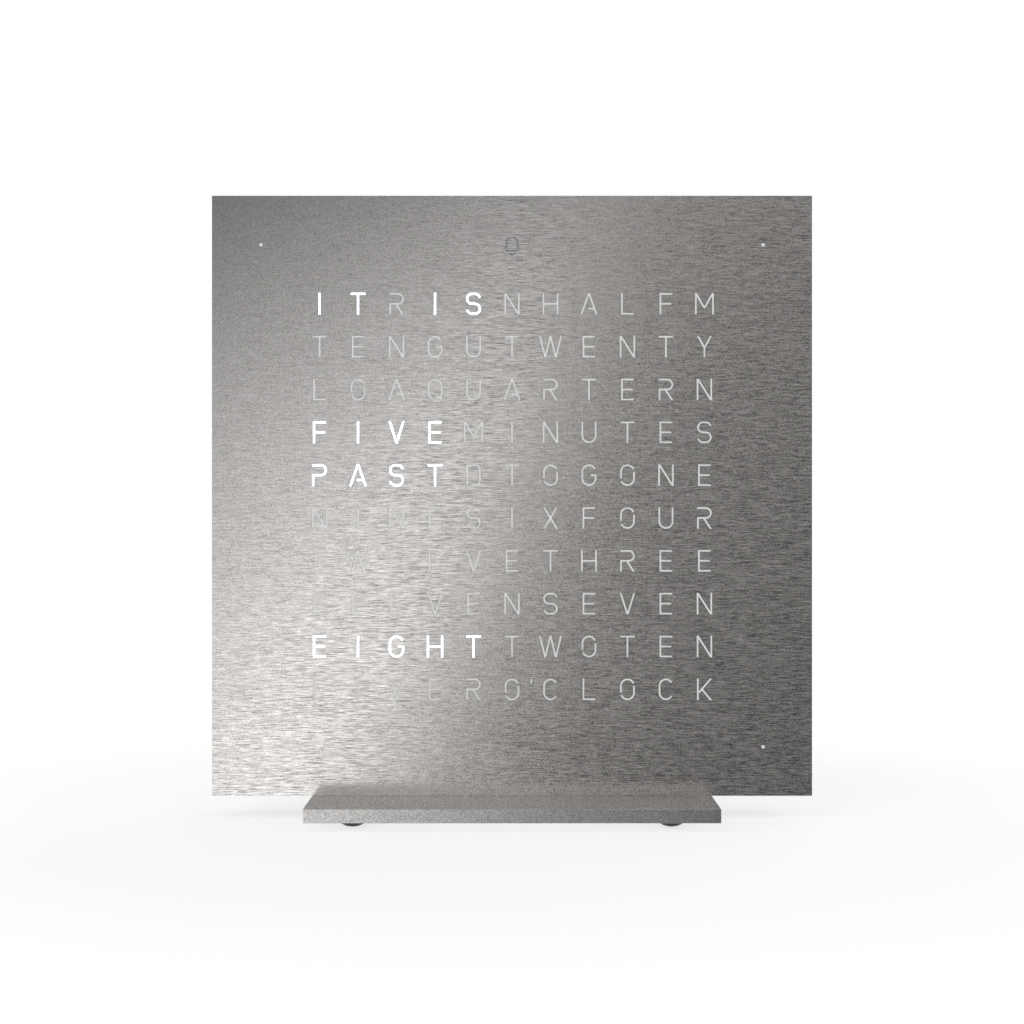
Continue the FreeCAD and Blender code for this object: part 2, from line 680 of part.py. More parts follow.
def fillings(faces):
    """Solid fillings for flat cut-out faces, a little behind the plate's front."""
    front = PLATE_FRONT + FILL_RECESS
    depth = Vector(0, PLATE_BACK - front, 0)
    return Part.makeCompound([moved(face, 0, 0, front).extrude(depth) for face in faces])


# ---------------------------------------------------------------- letter plate and light box
def front_cover():
    faces = alarm_sign_faces(0.0) + dot_faces(0.0)
    for letters in grouped_faces(0.0).values():
        faces += letters
    return pierced_slab(rectangle(PLATE_SIZE, PLATE_SIZE), faces, PLATE_FRONT, PLATE_BACK)


def letter_fillings():
    """One group of fillings for each word, one for the spare letters, dots and bell."""
    groups = {
        "letters_" + group: fillings(faces) for group, faces in grouped_faces(FILL_CLEARANCE).items()
    }
    groups["minute_dots"] = fillings(dot_faces(FILL_CLEARANCE))
    groups["alarm_sign"] = fillings(alarm_sign_faces(FILL_CLEARANCE))
    return groups


def diffuser_sheet():
    half = CAVITY_HALF - DIFFUSER_MARGIN
    sheet = slab(2 * half, 2 * half, PLATE_BACK, DIFFUSER_BACK)
    holes = [
        disc(KEEPER_RADIUS + KEEPER_CLEARANCE, PLATE_BACK, DIFFUSER_BACK, u, v)
        for u, v in both_signs(MAGNET_U, MAGNET_V)
    ]
    return sheet.cut(holes)


def keeper_discs():
    return Part.makeCompound([
        disc(KEEPER_RADIUS, PLATE_BACK, KEEPER_BACK, u, v) for u, v in both_signs(MAGNET_U, MAGNET_V)
    ])


def magnets():
    return Part.makeCompound([
        disc(MAGNET_RADIUS, MAGNET_FRONT, MAGNET_BACK, u, v) for u, v in both_signs(MAGNET_U, MAGNET_V)
    ])


def light_baffle():
    """Moulded block with one light well for each letter, dot and the bell."""
    wells = [
        flat_face(rectangle(LETTER_PITCH_U - WELL_WALL, LETTER_PITCH_V - WELL_WALL, u, v))
        for u, v, letter, group, followed in cells()
    ]
    outline = rectangle(2 * INSERTED_HALF, 2 * INSERTED_HALF)
    block = pierced_slab(outline, wells, BAFFLE_FRONT, BAFFLE_BACK)
    cuts = [
        disc(DOT_WELL_RADIUS, BAFFLE_FRONT, BAFFLE_BACK, u, v)
        for u, v in both_signs(MINUTE_DOT_OFFSET, MINUTE_DOT_OFFSET)
    ]
    cuts.append(disc(ALARM_WELL_RADIUS, BAFFLE_FRONT, BAFFLE_BACK, 0, ALARM_SIGN_V))
    for u, v in both_signs(MAGNET_U, MAGNET_V):
        cuts.append(disc(MAGNET_RADIUS + MAGNET_POCKET_CLEARANCE, BAFFLE_FRONT, MAGNET_BACK, u, v))
    for u, v in both_signs(SIDE_BOSS_U, SIDE_BOSS_V):
        cuts.append(disc(SMALL_HEAD_RADIUS + HEAD_CLEARANCE, BAFFLE_FRONT, FRONT_SCREW_SEAT, u, v))
        cuts.append(disc(SMALL_SCREW_RADIUS + SHANK_CLEARANCE, FRONT_SCREW_SEAT, BAFFLE_BACK, u, v))
    return block.cut(cuts)


def led_places():
    places = [(u, v) for u, v, letter, group, followed in cells()]
    places += both_signs(MINUTE_DOT_OFFSET, MINUTE_DOT_OFFSET)
    places.append((0, ALARM_SIGN_V))
    return places


def leds():
    return Part.makeCompound([
        slab(LED_WIDTH, LED_HEIGHT, BAFFLE_BACK - LED_THICKNESS, BAFFLE_BACK, u, v)
        for u, v in led_places()
    ])


def led_board():
    board = slab(2 * INSERTED_HALF, 2 * INSERTED_HALF, BAFFLE_BACK, LED_BOARD_BACK)
    holes = [
        disc(SMALL_SCREW_RADIUS + SHANK_CLEARANCE, BAFFLE_BACK, LED_BOARD_BACK, u, v)
        for u, v in both_signs(SIDE_BOSS_U, SIDE_BOSS_V)
    ]
    return board.cut(holes)


def led_driver_chips():
    back = LED_BOARD_BACK + DRIVER_CHIP_THICKNESS
    return Part.makeCompound([
        slab(DRIVER_CHIP_SIZE, DRIVER_CHIP_SIZE, LED_BOARD_BACK, back, side * DRIVER_CHIP_U, DRIVER_CHIP_V)
        for side in (-1, 1)
    ])


# ---------------------------------------------------------------- screws
def pan_screw(seat, length, u, v):
    """M2 screw along Y, its head in front of its seat and its tip towards the rear."""
    head = disc(SMALL_HEAD_RADIUS, seat - SMALL_HEAD_HEIGHT, seat, u, v)
    top = point(u, v, seat - SMALL_HEAD_HEIGHT)
    socket = hex_prism(SMALL_SCREW_HEX, top, Vector(0, 1, 0), SMALL_HEX_DEPTH)
    shank = disc(SMALL_SCREW_RADIUS, seat, seat + length, u, v)
    return head.fuse(shank).cut(socket).removeSplitter()


def countersunk_screw(face, inward, radius, head_radius, length, hex_size, hex_depth):
    """Screw that enters at a point of a face, along a unit direction."""
    head_height = head_radius - radius
    top = face + inward * HEAD_SINK
    head = Part.makeCone(head_radius, radius, head_height, top, inward)
    shank = Part.makeCylinder(radius, length - head_height, top + inward * head_height, inward)
    socket = hex_prism(hex_size, top, inward, hex_depth)
    return head.fuse(shank).cut(socket).removeSplitter()


def countersunk_hole(face, inward, radius, head_radius, depth):
    """The hole that such a screw passes through."""
    hole_radius = radius + SHANK_CLEARANCE
    sink_radius = head_radius + HEAD_SINK
    sink = Part.makeCone(sink_radius, hole_radius, sink_radius - hole_radius, face, inward)
    return Part.makeCylinder(hole_radius, depth, face, inward).fuse(sink)


def rear_screw_places():
    return [point(u, v, REAR_FACE) for u, v in both_signs(CORNER_BOSS_OFFSET, CORNER_BOSS_OFFSET)]


def rear_cover_screws():
    """M2.5 screws from the rear face into the housing's corner bosses."""
    return Part.makeCompound([
        countersunk_screw(face, Vector(0, -1, 0), REAR_SCREW_RADIUS, REAR_SCREW_HEAD_RADIUS,
                          REAR_SCREW_LENGTH, REAR_SCREW_HEX, REAR_HEX_DEPTH)
        for face in rear_screw_places()
    ])


def base_screw_places(height):
    """The two points on the base screws' axes at one height."""
    return [Vector(side * BASE_SCREW_X, BASE_SCREW_Y, height) for side in (-1, 1)]


def base_screws():
    """M3 screws from under the base plate up into the brass inserts."""
    return Part.makeCompound([
        countersunk_screw(face, Vector(0, 0, 1), BASE_SCREW_RADIUS, BASE_SCREW_HEAD_RADIUS,
                          BASE_SCREW_LENGTH, BASE_SCREW_HEX, BASE_HEX_DEPTH)
        for face in base_screw_places(BASE_BOTTOM)
    ])


# ---------------------------------------------------------------- housing
def housing_frame():
    """Four side walls with the bosses that carry the boards, rear cover and stand."""
    size = 2 * HOUSING_HALF
    frame = rounded_slab(size, size, HOUSING_CORNER_RADIUS, PLATE_BACK, REAR_FACE)
    frame = frame.makeFillet(HOUSING_EDGE_FILLET, edges_at(frame, REAR_FACE))
    frame = frame.cut(slab(2 * CAVITY_HALF, 2 * CAVITY_HALF, PLATE_BACK, REAR_FACE))
    bosses = []
    pilots = []
    for u, v in both_signs(CORNER_BOSS_OFFSET, CORNER_BOSS_OFFSET):
        bosses.append(disc(CORNER_BOSS_RADIUS, LED_BOARD_BACK, REAR_INNER, u, v))
        reach = CAVITY_HALF - CORNER_BOSS_OFFSET
        toward_side = math.copysign(CORNER_BOSS_OFFSET + reach / 2, u)
        toward_end = math.copysign(CORNER_BOSS_OFFSET + reach / 2, v)
        bosses.append(slab(reach, BOSS_WEB_THICKNESS, LED_BOARD_BACK, REAR_INNER, toward_side, v))
        bosses.append(slab(BOSS_WEB_THICKNESS, reach, LED_BOARD_BACK, REAR_INNER, u, toward_end))
        tip = REAR_FACE - HEAD_SINK - REAR_SCREW_LENGTH - PILOT_EXTRA_DEPTH
        pilots.append(disc(REAR_SCREW_RADIUS + THREAD_CLEARANCE, tip, REAR_INNER, u, v))
    for u, v in both_signs(SIDE_BOSS_U, SIDE_BOSS_V):
        back = LED_BOARD_BACK + SIDE_BOSS_LENGTH
        bosses.append(disc(SIDE_BOSS_RADIUS, LED_BOARD_BACK, back, u, v))
        reach = CAVITY_HALF - SIDE_BOSS_U
        toward_side = math.copysign(SIDE_BOSS_U + reach / 2, u)
        bosses.append(slab(reach, BOSS_WEB_THICKNESS, LED_BOARD_BACK, back, toward_side, v))
        tip = FRONT_SCREW_SEAT + FRONT_SCREW_LENGTH + PILOT_EXTRA_DEPTH
        pilots.append(disc(SMALL_SCREW_RADIUS + THREAD_CLEARANCE, LED_BOARD_BACK, tip, u, v))
    hole_depth = BASE_BOTTOM + HEAD_SINK + BASE_SCREW_LENGTH + PILOT_EXTRA_DEPTH - HOUSING_BOTTOM
    for foot in base_screw_places(HOUSING_BOTTOM):
        inner_foot = foot + Vector(0, 0, HOUSING_WALL)
        bosses.append(Part.makeCylinder(INSERT_RADIUS + INSERT_BOSS_WALL, INSERT_BOSS_HEIGHT, inner_foot))
        pilots.append(Part.makeCylinder(INSERT_RADIUS + INSERT_CLEARANCE, INSERT_LENGTH, foot))
        pilots.append(Part.makeCylinder(BASE_SCREW_RADIUS + THREAD_CLEARANCE, hole_depth, foot))
    return frame.fuse(bosses).cut(pilots).removeSplitter()


def grille_places():
    """Hexagonal pattern of holes round the speaker's middle."""
    places = []
    for along in range(-GRILLE_RINGS, GRILLE_RINGS + 1):
        for across in range(-GRILLE_RINGS, GRILLE_RINGS + 1):
            if abs(along + across) <= GRILLE_RINGS:
                u = (along + across / 2) * GRILLE_PITCH
                v = across * math.sqrt(3) / 2 * GRILLE_PITCH
                places.append((u, SPEAKER_V + v))
    return places


def standoff_places():
    return [(u, CONTROL_V + v) for u, v in both_signs(STANDOFF_U, STANDOFF_SPREAD_V)]


def rear_cover():
    size = 2 * REAR_COVER_HALF
    plate = slab(size, size, REAR_INNER, REAR_FACE)
    plate = plate.makeChamfer(REAR_COVER_CHAMFER, edges_at(plate, REAR_FACE))
    ring_inner = SPEAKER_RADIUS + SPEAKER_CLEARANCE
    ring_front = REAR_INNER - SPEAKER_RING_HEIGHT
    ring = disc(ring_inner + SPEAKER_RING_WALL, ring_front, REAR_INNER, 0, SPEAKER_V)
    ring = ring.cut(disc(ring_inner, ring_front, REAR_INNER, 0, SPEAKER_V))
    added = [ring]
    added += [disc(STANDOFF_RADIUS, CONTROL_BACK, REAR_INNER, u, v) for u, v in standoff_places()]
    holes = [
        countersunk_hole(face, Vector(0, -1, 0), REAR_SCREW_RADIUS, REAR_SCREW_HEAD_RADIUS, REAR_WALL)
        for face in rear_screw_places()
    ]
    holes += [disc(GRILLE_HOLE_RADIUS, REAR_INNER, REAR_FACE, u, v) for u, v in grille_places()]
    for u, v in standoff_places():
        pilot_end = CONTROL_BACK + STANDOFF_PILOT_DEPTH
        holes.append(disc(SMALL_SCREW_RADIUS + THREAD_CLEARANCE, CONTROL_BACK, pilot_end, u, v))
    for u in BUTTONS.values():
        hole_radius = BUTTON_RADIUS + BUTTON_HOLE_CLEARANCE
        dish_front = REAR_FACE - BUTTON_RECESS_DEPTH
        holes.append(disc(hole_radius, REAR_INNER, REAR_FACE, u, BUTTON_V))
        holes.append(cone(hole_radius, hole_radius + BUTTON_RECESS_WIDTH, dish_front, REAR_FACE, u, BUTTON_V))
    width = SOCKET_WIDTH + 2 * SOCKET_CLEARANCE
    height = SOCKET_HEIGHT + 2 * SOCKET_CLEARANCE
    holes.append(flat_tube(width, height, REAR_INNER, REAR_FACE, SOCKET_V))
    return plate.fuse(added).cut(holes).removeSplitter()


def stand_spacer():
    """Bar between the base plate and the housing, behind the letter plate's lower edge."""
    height = HOUSING_BOTTOM - BASE_TOP
    front = PLATE_BACK + SPACER_FRONT_INSET
    back = REAR_FACE - SPACER_REAR_INSET
    bar = Part.makeBox(SPACER_WIDTH, back - front, height, Vector(-SPACER_WIDTH / 2, front, BASE_TOP))
    upright = [edge for edge in bar.Edges if abs(edge.tangentAt(edge.FirstParameter).z) > 0.5]
    bar = bar.makeFillet(SPACER_CORNER_RADIUS, upright)
    return bar.cut([
        Part.makeCylinder(BASE_SCREW_RADIUS + SHANK_CLEARANCE, height, foot)
        for foot in base_screw_places(BASE_TOP)
    ])


def base_inserts():
    """Brass threaded inserts in the housing's lower wall."""
    inserts = []
    for foot in base_screw_places(HOUSING_BOTTOM):
        sleeve = Part.makeCylinder(INSERT_RADIUS, INSERT_LENGTH, foot)
        thread = Part.makeCylinder(BASE_SCREW_RADIUS + THREAD_CLEARANCE, INSERT_LENGTH, foot)
        inserts.append(sleeve.cut(thread))
    return Part.makeCompound(inserts)


def base_plate():
    corner = Vector(-BASE_WIDTH / 2, -BASE_DEPTH / 2, BASE_BOTTOM)
    plate = Part.makeBox(BASE_WIDTH, BASE_DEPTH, BASE_THICKNESS, corner)
    plate = plate.makeChamfer(BASE_EDGE_BREAK, plate.Edges)
    return plate.cut([
        countersunk_hole(face, Vector(0, 0, 1), BASE_SCREW_RADIUS, BASE_SCREW_HEAD_RADIUS, BASE_THICKNESS)
        for face in base_screw_places(BASE_BOTTOM)
    ])


def rubber_feet():
    """Domes stuck under the base plate: a ball cut by two levels, wide above and small below."""
    centre_z = (FOOT_RADIUS ** 2 - FOOT_FLAT_RADIUS ** 2 + FOOT_HEIGHT ** 2) / (2 * FOOT_HEIGHT)
    ball_radius = math.hypot(FOOT_FLAT_RADIUS, centre_z)
    feet = []
    for x, y in both_signs(BASE_WIDTH / 2 - FOOT_INSET_X, BASE_DEPTH / 2 - FOOT_INSET_Y):
        ball = Part.makeSphere(ball_radius, Vector(x, y, centre_z))
        layer = Part.makeBox(2 * FOOT_RADIUS, 2 * FOOT_RADIUS, FOOT_HEIGHT,
                             Vector(x - FOOT_RADIUS, y - FOOT_RADIUS, 0))
        feet.append(ball.common(layer))
    return Part.makeCompound(feet)


# ---------------------------------------------------------------- control board
def control_board():
    board = rounded_slab(CONTROL_WIDTH, CONTROL_HEIGHT, CONTROL_CORNER_RADIUS,
                         CONTROL_FRONT, CONTROL_BACK, 0, CONTROL_V)
    holes = [
        disc(SMALL_SCREW_RADIUS + SHANK_CLEARANCE, CONTROL_FRONT, CONTROL_BACK, u, v)
        for u, v in standoff_places()
    ]
    width = SOCKET_WIDTH + 2 * SOCKET_CLEARANCE
    height = SOCKET_HEIGHT + 2 * SOCKET_CLEARANCE
    holes.append(flat_tube(width, height, CONTROL_FRONT, CONTROL_BACK, SOCKET_V))
    return board.cut(holes)


def board_connector():
    """Plug and socket strip that join the two boards, face to face."""
    meet = LED_BOARD_BACK + CONNECTOR_SPLIT
    lower = slab(CONNECTOR_WIDTH, CONNECTOR_HEIGHT, LED_BOARD_BACK, meet, CONNECTOR_U, CONNECTOR_V)
    upper = slab(CONNECTOR_WIDTH - CONNECTOR_LIP, CONNECTOR_HEIGHT - CONNECTOR_LIP,
                 meet, CONTROL_FRONT, CONNECTOR_U, CONNECTOR_V)
    return Part.makeCompound([lower, upper])


def control_chips():
    front = CONTROL_FRONT - CONTROL_CHIP_THICKNESS
    return Part.makeCompound([
        slab(MAIN_CHIP_SIZE, MAIN_CHIP_SIZE, front, CONTROL_FRONT, MAIN_CHIP_U, CONTROL_CHIP_V),
        slab(CLOCK_CHIP_SIZE, CLOCK_CHIP_SIZE, front, CONTROL_FRONT, CLOCK_CHIP_U, CONTROL_CHIP_V),
    ])


def coin_cell_holder():
    tray = slab(HOLDER_SIZE, HOLDER_SIZE, CONTROL_BACK, CONTROL_BACK + HOLDER_HEIGHT, HOLDER_U, HOLDER_V)
    pocket_front = CONTROL_BACK + HOLDER_FLOOR
    pocket = disc(CELL_RADIUS + HOLDER_CLEARANCE, pocket_front, CONTROL_BACK + HOLDER_HEIGHT,
                  HOLDER_U, HOLDER_V)
    return tray.cut(pocket)


def coin_cell():
    front = CONTROL_BACK + HOLDER_FLOOR
    return disc(CELL_RADIUS, front, front + CELL_THICKNESS, HOLDER_U, HOLDER_V)


def speaker():
    """Round speaker against the rear cover: a rim, and a smaller magnet in front of it."""
    rim_front = REAR_INNER - SPEAKER_RIM_THICKNESS
    rim = disc(SPEAKER_RADIUS, rim_front, REAR_INNER, 0, SPEAKER_V)
    magnet = disc(SPEAKER_MAGNET_RADIUS, REAR_INNER - SPEAKER_THICKNESS, rim_front, 0, SPEAKER_V)
    return rim.fuse(magnet).removeSplitter()


def socket_mouth():
    return REAR_FACE - SOCKET_RECESS


def power_socket():
    """Metal shell of the power inlet, open to the rear, through a slot in the board."""
    mouth = socket_mouth()
    front = mouth - SOCKET_LENGTH
    shell = flat_tube(SOCKET_WIDTH, SOCKET_HEIGHT, front, mouth, SOCKET_V)
    inside = flat_tube(SOCKET_WIDTH - 2 * SOCKET_WALL, SOCKET_HEIGHT - 2 * SOCKET_WALL,
                       front + SOCKET_FLOOR, mouth, SOCKET_V)
    return shell.cut(inside)


def power_socket_tongue():
    mouth = socket_mouth()
    front = mouth - SOCKET_LENGTH + SOCKET_FLOOR
    return slab(TONGUE_WIDTH, TONGUE_THICKNESS, front, mouth - TONGUE_RECESS, 0, SOCKET_V)


def switch_cases():
    cases = []
    for u in BUTTONS.values():
        case = slab(SWITCH_SIZE, SWITCH_SIZE, CONTROL_BACK, SWITCH_TOP, u, BUTTON_V)
        well = disc(PLUNGER_RADIUS + PLUNGER_CLEARANCE, CONTROL_BACK + SWITCH_FLOOR, SWITCH_TOP, u, BUTTON_V)
        cases.append(case.cut(well))
    return Part.makeCompound(cases)


def plunger(u):
    """Pin of a push switch, which goes in with its button."""
    front = CONTROL_BACK + SWITCH_FLOOR + PLUNGER_STOP + BUTTON_TRAVEL
    return disc(PLUNGER_RADIUS, front, PLUNGER_TIP, u, BUTTON_V)


def button(u):
    """Round cap through the rear cover, with a flange behind it and a stem to its switch."""
    flange_back = REAR_INNER - BUTTON_FLANGE_GAP
    flange_front = flange_back - BUTTON_FLANGE_THICKNESS
    tip = REAR_FACE + BUTTON_PROUD
    cap = disc(BUTTON_RADIUS, flange_back, tip, u, BUTTON_V)
    cap = cap.makeFillet(BUTTON_EDGE_FILLET, edges_at(cap, tip))
    dish_centre = point(u, BUTTON_V, tip - BUTTON_DISH_DEPTH + BUTTON_DISH_RADIUS)
    cap = cap.cut(Part.makeSphere(BUTTON_DISH_RADIUS, dish_centre))
    flange = disc(BUTTON_RADIUS + BUTTON_FLANGE_WIDTH, flange_front, flange_back, u, BUTTON_V)
    stem = disc(BUTTON_STEM_RADIUS, PLUNGER_TIP, flange_front, u, BUTTON_V)
    return cap.fuse([flange, stem]).removeSplitter()


# ---------------------------------------------------------------- all pieces
def all_pieces():
    pieces = {
        "front_cover": front_cover(),
        "diffuser_sheet": diffuser_sheet(),
        "keeper_discs": keeper_discs(),
        "magnets": magnets(),
        "light_baffle": light_baffle(),
        "leds": leds(),
        "led_board": led_board(),
        "led_driver_chips": led_driver_chips(),
        "led_board_screws": Part.makeCompound([
            pan_screw(FRONT_SCREW_SEAT, FRONT_SCREW_LENGTH, u, v)
            for u, v in both_signs(SIDE_BOSS_U, SIDE_BOSS_V)
        ]),
        "board_connector": board_connector(),
        "control_board": control_board(),
        "control_board_screws": Part.makeCompound([
            pan_screw(CONTROL_FRONT, BOARD_SCREW_LENGTH, u, v) for u, v in standoff_places()
        ]),
        "control_chips": control_chips(),
        "coin_cell_holder": coin_cell_holder(),
        "coin_cell": coin_cell(),
        "speaker": speaker(),
        "power_socket": power_socket(),
        "power_socket_tongue": power_socket_tongue(),
        "switch_cases": switch_cases(),
        "housing_frame": housing_frame(),
        "rear_cover": rear_cover(),
        "rear_cover_screws": rear_cover_screws(),
        "stand_spacer": stand_spacer(),
        "base_plate": base_plate(),
        "base_screws": base_screws(),
        "base_inserts": base_inserts(),
        "rubber_feet": rubber_feet(),
    }
    for name, u in BUTTONS.items():
        pieces[name + "_button"] = button(u)
        pieces[name + "_switch_plunger"] = plunger(u)
    pieces.update(letter_fillings())
    return pieces


os.makedirs("parts", exist_ok=True)
for node, shape in all_pieces().items():
    shape.exportStep(os.path.join("parts", node + ".step"))
    print(node, len(shape.Solids), "solids", round(shape.Volume, 2), "mm3")
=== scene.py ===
import json
import math

import bpy
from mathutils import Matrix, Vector


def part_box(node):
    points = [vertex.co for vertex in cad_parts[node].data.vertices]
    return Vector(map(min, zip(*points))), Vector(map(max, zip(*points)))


bl_info = {
    "name": "Word clock",
    "version": (1, 0, 0),
    "blender": (4, 5, 0),
    "location": "3D View > Sidebar > Word clock",
    "description": "Finishes of a desk clock that spells the time, and its studio",
    "category": "Object",
}

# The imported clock, in metres: +Z up, the letters face -Y, origin on the table.
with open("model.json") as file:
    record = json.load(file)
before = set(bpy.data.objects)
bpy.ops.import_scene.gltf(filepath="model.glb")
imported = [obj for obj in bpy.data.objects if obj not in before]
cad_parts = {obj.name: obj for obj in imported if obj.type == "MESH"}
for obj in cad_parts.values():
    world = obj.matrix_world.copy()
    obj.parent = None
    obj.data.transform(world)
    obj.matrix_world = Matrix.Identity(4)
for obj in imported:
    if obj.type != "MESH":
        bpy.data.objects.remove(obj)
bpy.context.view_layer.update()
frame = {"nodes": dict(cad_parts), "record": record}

SLOT_COLOUR = {entry["slot"]: entry["base_color"] for entry in frame["record"]["materials"]}
PLATE_LOW, PLATE_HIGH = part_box("front_cover")
PLATE_HALF = (PLATE_HIGH.x - PLATE_LOW.x) / 2
PLATE_MIDDLE = (PLATE_LOW.z + PLATE_HIGH.z) / 2
BASE_LOW, BASE_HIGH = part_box("base_plate")
BUTTON_LOW, BUTTON_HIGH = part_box("alarm_button")    # the middle one of three
BUTTON_MIDDLE = (BUTTON_LOW.z + BUTTON_HIGH.z) / 2
BUTTON_PITCH = 0.014                                # from one button to the next
LETTER_PITCH_U = 0.00866                            # from one letter to the next
LETTER_PITCH_V = 0.0096389                          # from one row to the next
FIELD_MIDDLE = PLATE_MIDDLE - 0.000175              # height of the middle of the letters
LIT_WORDS = ("letters_it_is", "letters_five_minutes", "letters_past", "letters_eight")
DARK_WORDS = tuple(
    name for name in frame["nodes"] if name.startswith("letters_") and name not in LIT_WORDS
)

# Distances between which something fades, in metres from an edge or middle of its piece.
PLATE_RUBBED = (0.0, 0.0002)
# the letter plate's foot, whose colour is painted lighter as a painted reflection of the base
# plate
PLATE_REFLECTION_UP = (0.0034, 0.002)
PLATE_REFLECTION_ACROSS = (BASE_HIGH.x + 0.003, BASE_HIGH.x)
BASE_RUBBED = (0.0, 0.0006)
BASE_CUT = (0.00004, 0.00012)
# width of the painted shade along the base plate's corners
BASE_CORNER_SHADE = (0.00003, 0.00006)
BUTTON_POLISH = (0.0006, 0.0026)
FOOT_WORN = (0.00002, 0.0003)
LED_WINDOW_ACROSS = (0.00055, 0.00062)
LED_WINDOW_UP = (0.00036, 0.00042)
LED_ENDS_INNER = (0.00082, 0.00086)
LED_ENDS_OUTER = (0.0012, 0.0013)
TRACK_HALF = (0.00012, 0.00018)
FLOOR_FADE = (0.10, 0.17)
SCREEN_FADE = (0.24, 0.34)

RUBBED_STEEL = (0.72, 0.715, 0.70)
# dark colour of the painted shade along the base plate's corners
CORNER_SHADE_COLOUR = (0.30, 0.295, 0.29)
BROWN_BLOOM = (0.42, 0.27, 0.10)
FILM_DUST = (0.55, 0.54, 0.52)
PLASTIC_DUST = (0.45, 0.44, 0.42)
RUBBER_DUST = (0.08, 0.077, 0.073)
WORN_RUBBER = (0.06, 0.059, 0.057)
LED_CASE = (0.82, 0.82, 0.80)
LED_METAL = (0.45, 0.45, 0.44)
TINNED_HOLE = (0.62, 0.60, 0.55)
WHITE = (1.0, 1.0, 1.0)

# The line between light and dark on the letter plate, in half widths of the plate.
EDGE_LEAN = 0.390                                   # terms of its cubic curve
EDGE_BEND = 0.079
EDGE_CURL = 0.027
EDGE_SHIFT = 0.063
EDGE_SOFTNESS = 0.152                               # at the plate's middle
SOFTNESS_FALL = 0.202                               # how fast it falls upwards
FOOT_SOFTNESS = 0.4                                 # how fast it grows towards the foot's place
FOOT_PLACE = 0.95                                   # below the plate's middle
FOOT_REACH = 0.1                                    # above and below that place

# The tone of the screen that the steel mirrors: the terms of its dark ground, and of the
# rise that the light adds.
GROUND_TONE = 0.200
GROUND_ACROSS = -0.390
GROUND_UP = 0.344
RISE_TONE = 0.638
RISE_UP = 0.593
RISE_ACROSS = 0.445
RISE_TWIST = 0.140
LEAST_TONE = 0.05
COOL_TONES = (0.9, 0.6)                             # the light cools from one to the other
COOL_SHARE = 0.01
STEEL_SHARE = 0.6                                   # how much of the tone the steel returns
SCREEN_U = (-1.6, 1.6)                              # outside these the tone stays the same
SCREEN_V = (-1.4, 1.6)

# The studio, in metres.
FLOOR_HALF = 0.18
SCREEN_HALF = 0.35
LAMP_PLACE = (0.45, 0.65, 0.75)                     # the other lamp stands opposite
LAMP_SIZE = 0.6
SENSOR_WIDTH = 36.0                                 # in millimetres
NEAREST_SEEN = 0.01


# ---------------------------------------------------------------- node trees
def opaque(colour):
    """A colour as the sockets take it; a signal passes unchanged."""
    if isinstance(colour, Signal):
        return colour
    return (*tuple(colour)[:3], 1.0)


def scaled(colour, factor):
    """A colour made darker, or lighter, by a factor."""
    return [channel * factor for channel in colour]


class Signal:
    """A number, colour or vector that varies over a surface.  Arithmetic adds Math nodes."""

    def __init__(self, tree, socket):
        self.tree = tree
        self.socket = socket

    def math(self, operation, *values):
        return self.tree.node("ShaderNodeMath", {"operation": operation}, dict(enumerate(values)))

    def __add__(self, other):
        return self.math("ADD", self, other)

    def __sub__(self, other):
        return self.math("SUBTRACT", self, other)

    def __rsub__(self, other):
        return self.math("SUBTRACT", other, self)

    def __mul__(self, other):
        return self.math("MULTIPLY", self, other)

    def __truediv__(self, other):
        return self.math("DIVIDE", self, other)

    def __rtruediv__(self, other):
        return self.math("DIVIDE", other, self)

    def __pow__(self, other):
        return self.math("POWER", self, other)

    def __abs__(self):
        return self.math("ABSOLUTE", self)

    __radd__ = __add__
    __rmul__ = __mul__

    def least(self, other):
        return self.math("MINIMUM", self, other)

    def most(self, other):
        return self.math("MAXIMUM", self, other)

    def exp(self):
        return self.math("EXPONENT", self)

    def step(self, start, end):
        """0 up to start and 1 past end, which may be the lower one, and smooth between them."""
        return self.tree.node("ShaderNodeMapRange", {"interpolation_type": "SMOOTHSTEP"}, {
            "Value": self, "From Min": start, "From Max": end, "To Min": 0.0, "To Max": 1.0,
        })

    def repeat(self, pitch, offset=0.0):
        """Distance from the nearest of the places offset + n * pitch, with its sign."""
        turns = (self - offset) / pitch
        return (turns - self.math("ROUND", turns)) * pitch

    def spread(self, contrast):
        """The same signal with more contrast round its middle, kept from 0 to 1."""
        return ((self - 0.5) * contrast + 0.5).most(0.0).least(1.0)


